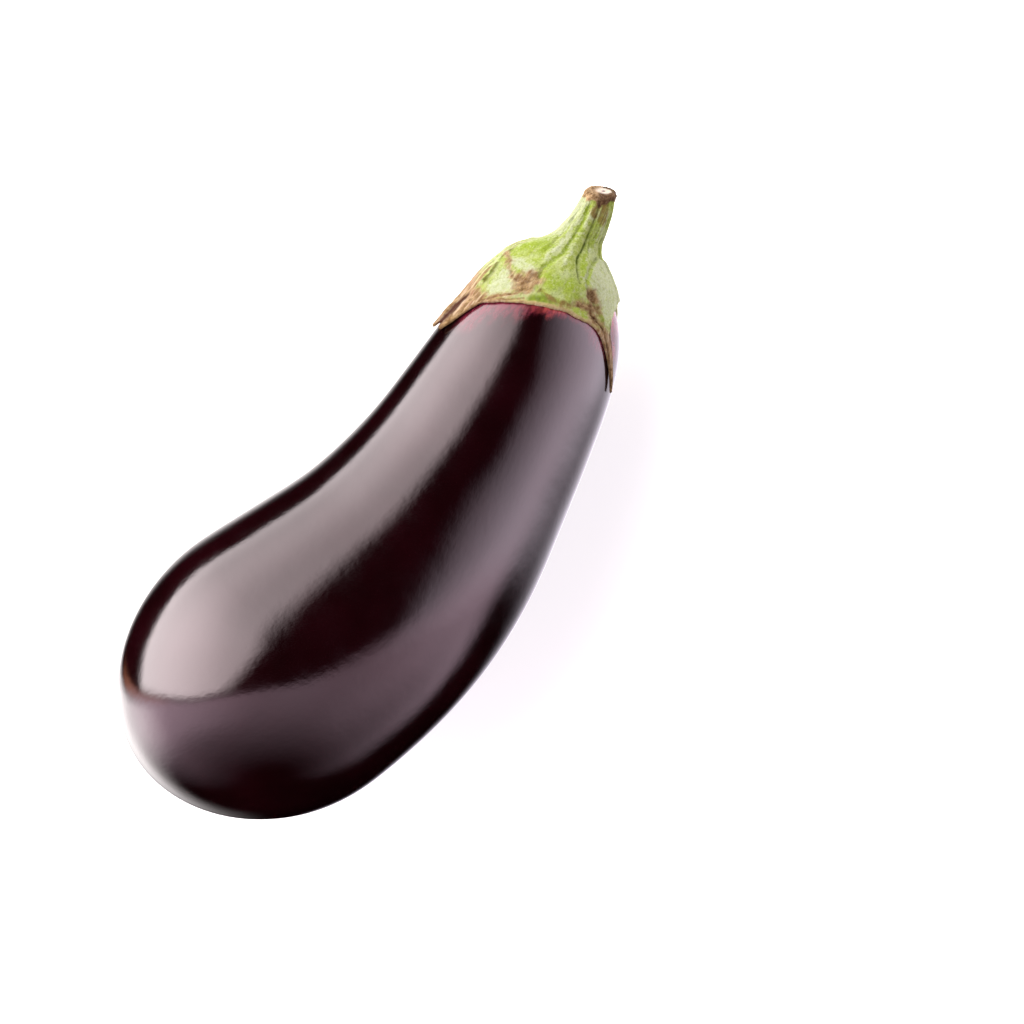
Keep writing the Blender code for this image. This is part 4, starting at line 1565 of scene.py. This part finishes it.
# The right box is weaker, and soft towards the front.
leaning = added(rightwards, product(held(upwards, -16.0, 22.0), 0.5))
low_side = math_node(sky, "MULTIPLY_ADD", beyond(rightwards, 70.0), -0.11, upwards)
right_box = product(
    ramp(leaning, 24.0, 38.0), ramp(rightwards, 14.0, 90.0, *RIGHT_BOX_LIGHT),
    ramp(rightwards, 100.0, 135.0, 1.0, 0.32), ramp(low_side, -32.0, -13.0),
    ramp(upwards, 46.0, 62.0, 1.0, 0.0),
)
print("left box up to", LEFT_BOX_LIGHT[1], "and right box up to", RIGHT_BOX_LIGHT[1])

# %% Light from the table and from behind
TABLE_LIGHT = 2.6
TABLE_BEHIND_LIGHT = 4.2
WALL_BEHIND_LIGHT = 1.7
GLOW_LIGHT = 1.3
table_side = added(
    0.66,
    product(ramp(leftwards, 5.0, 75.0), ramp(upwards, -50.0, -28.0), 0.72),
    product(ramp(rightwards, 30.0, 72.0), ramp(upwards, -60.0, -34.0), 0.6),
)
lifted = held(added(upwards, 42.0), 0.0, 14.0)
shaded_side = math_node(sky, "MULTIPLY_ADD", lifted, 1.6, rightwards)
table = product(
    ramp(upwards, -84.0, -12.0, 0.0, TABLE_LIGHT), table_side, ramp(over, -3.5, 3.0, 1.0, 0.0),
    ramp(leftwards, 85.0, 142.0, 1.0, 0.0), ramp(shaded_side, 104.0, 134.0, 1.0, 0.0),
)
table_behind = product(
    band(leftwards, (80.0, 115.0), (140.0, 178.0)), ramp(upwards, -46.0, -16.0),
    ramp(over, -7.0, -1.0, 1.0, 0.0), TABLE_BEHIND_LIGHT,
)
wall_behind = product(
    ramp(leftwards, 150.0, 172.0), band(upwards, (-14.0, 4.0), (15.0, 32.0)), WALL_BEHIND_LIGHT,
)
glow = product(
    band(over, (-4.0, -1.0), (0.0, 3.5)), band(leftwards, (70.0, 95.0), (125.0, 150.0)),
    GLOW_LIGHT,
)
print("table up to", TABLE_LIGHT)

# %% Put the studio together
# The boxes are far brighter than a real studio's walls, so that they show well in the skin.
# What lights the surfaces themselves is only a share of them.
SOFT_SHARE = 0.31
LEFT_SOFTENING = 0.15
BOX_TINT = (1.05, 1.0, 1.0)
RIGHT_TINT = (1.08, 1.0, 1.14)
TABLE_TINT = (1.28, 1.0, 1.18)
GLOW_TINT = (1.0, 0.36, 0.16)
WHITE = (1.0, 1.0, 1.0, 1.0)


def coloured(tint, *amounts):
    """Light of one tint."""
    amount = added(*amounts)
    return add_node(
        sky, "ShaderNodeCombineColor", {i: product(amount, part) for i, part in enumerate(tint)},
    ).outputs[0]


shown = coloured(BOX_TINT, left_box, table_behind, wall_behind)
for tint, amount in ((RIGHT_TINT, right_box), (TABLE_TINT, table), (GLOW_TINT, glow)):
    shown = mix_colours(sky, 1.0, shown, coloured(tint, amount), "ADD")
paths = add_node(sky, "ShaderNodeLightPath").outputs
shown = mix_colours(sky, paths["Is Camera Ray"], shown, WHITE)
share = ramp(leftwards, 20.0, 60.0, SOFT_SHARE, SOFT_SHARE * (1.0 - LEFT_SOFTENING))
lost = product(paths["Is Diffuse Ray"], math_node(sky, "SUBTRACT", 1.0, share))
strength = math_node(sky, "SUBTRACT", 1.0, lost)
back = add_node(sky, "ShaderNodeBackground", {"Color": shown, "Strength": strength})
add_node(sky, "ShaderNodeOutputWorld", {"Surface": back.outputs[0]})
print("studio has", len(sky.nodes), "nodes")

# %% [markdown]
# ## Floor
# A sheet of white paper lies under the fruit. It glows a little, so that it stays white beside
# the dark fruit, and the skin doesn't mirror it, because the world already holds the table.

# %% Floor
FLOOR_SIZE = 6.0
FLOOR_GLOW = 0.6
half = FLOOR_SIZE / 2
floor_mesh = bpy.data.meshes.new("floor")
floor_mesh.from_pydata(
    [(-half, -half, 0.0), (half, -half, 0.0), (half, half, 0.0), (-half, half, 0.0)],
    [], [(0, 1, 2, 3)],
)
paper, _, paper_shader = new_material("floor paper")
paper_shader.inputs["Base Color"].default_value = (0.9, 0.9, 0.9, 1.0)
paper_shader.inputs["Roughness"].default_value = 0.9
paper_shader.inputs["Specular IOR Level"].default_value = 0.0
paper_shader.inputs["Emission Color"].default_value = WHITE
paper_shader.inputs["Emission Strength"].default_value = FLOOR_GLOW
floor_mesh.materials.append(paper)
floor = bpy.data.objects.new("floor", floor_mesh)
bpy.context.scene.collection.objects.link(floor)
floor.visible_glossy = False
print("floor of", FLOOR_SIZE, "m")
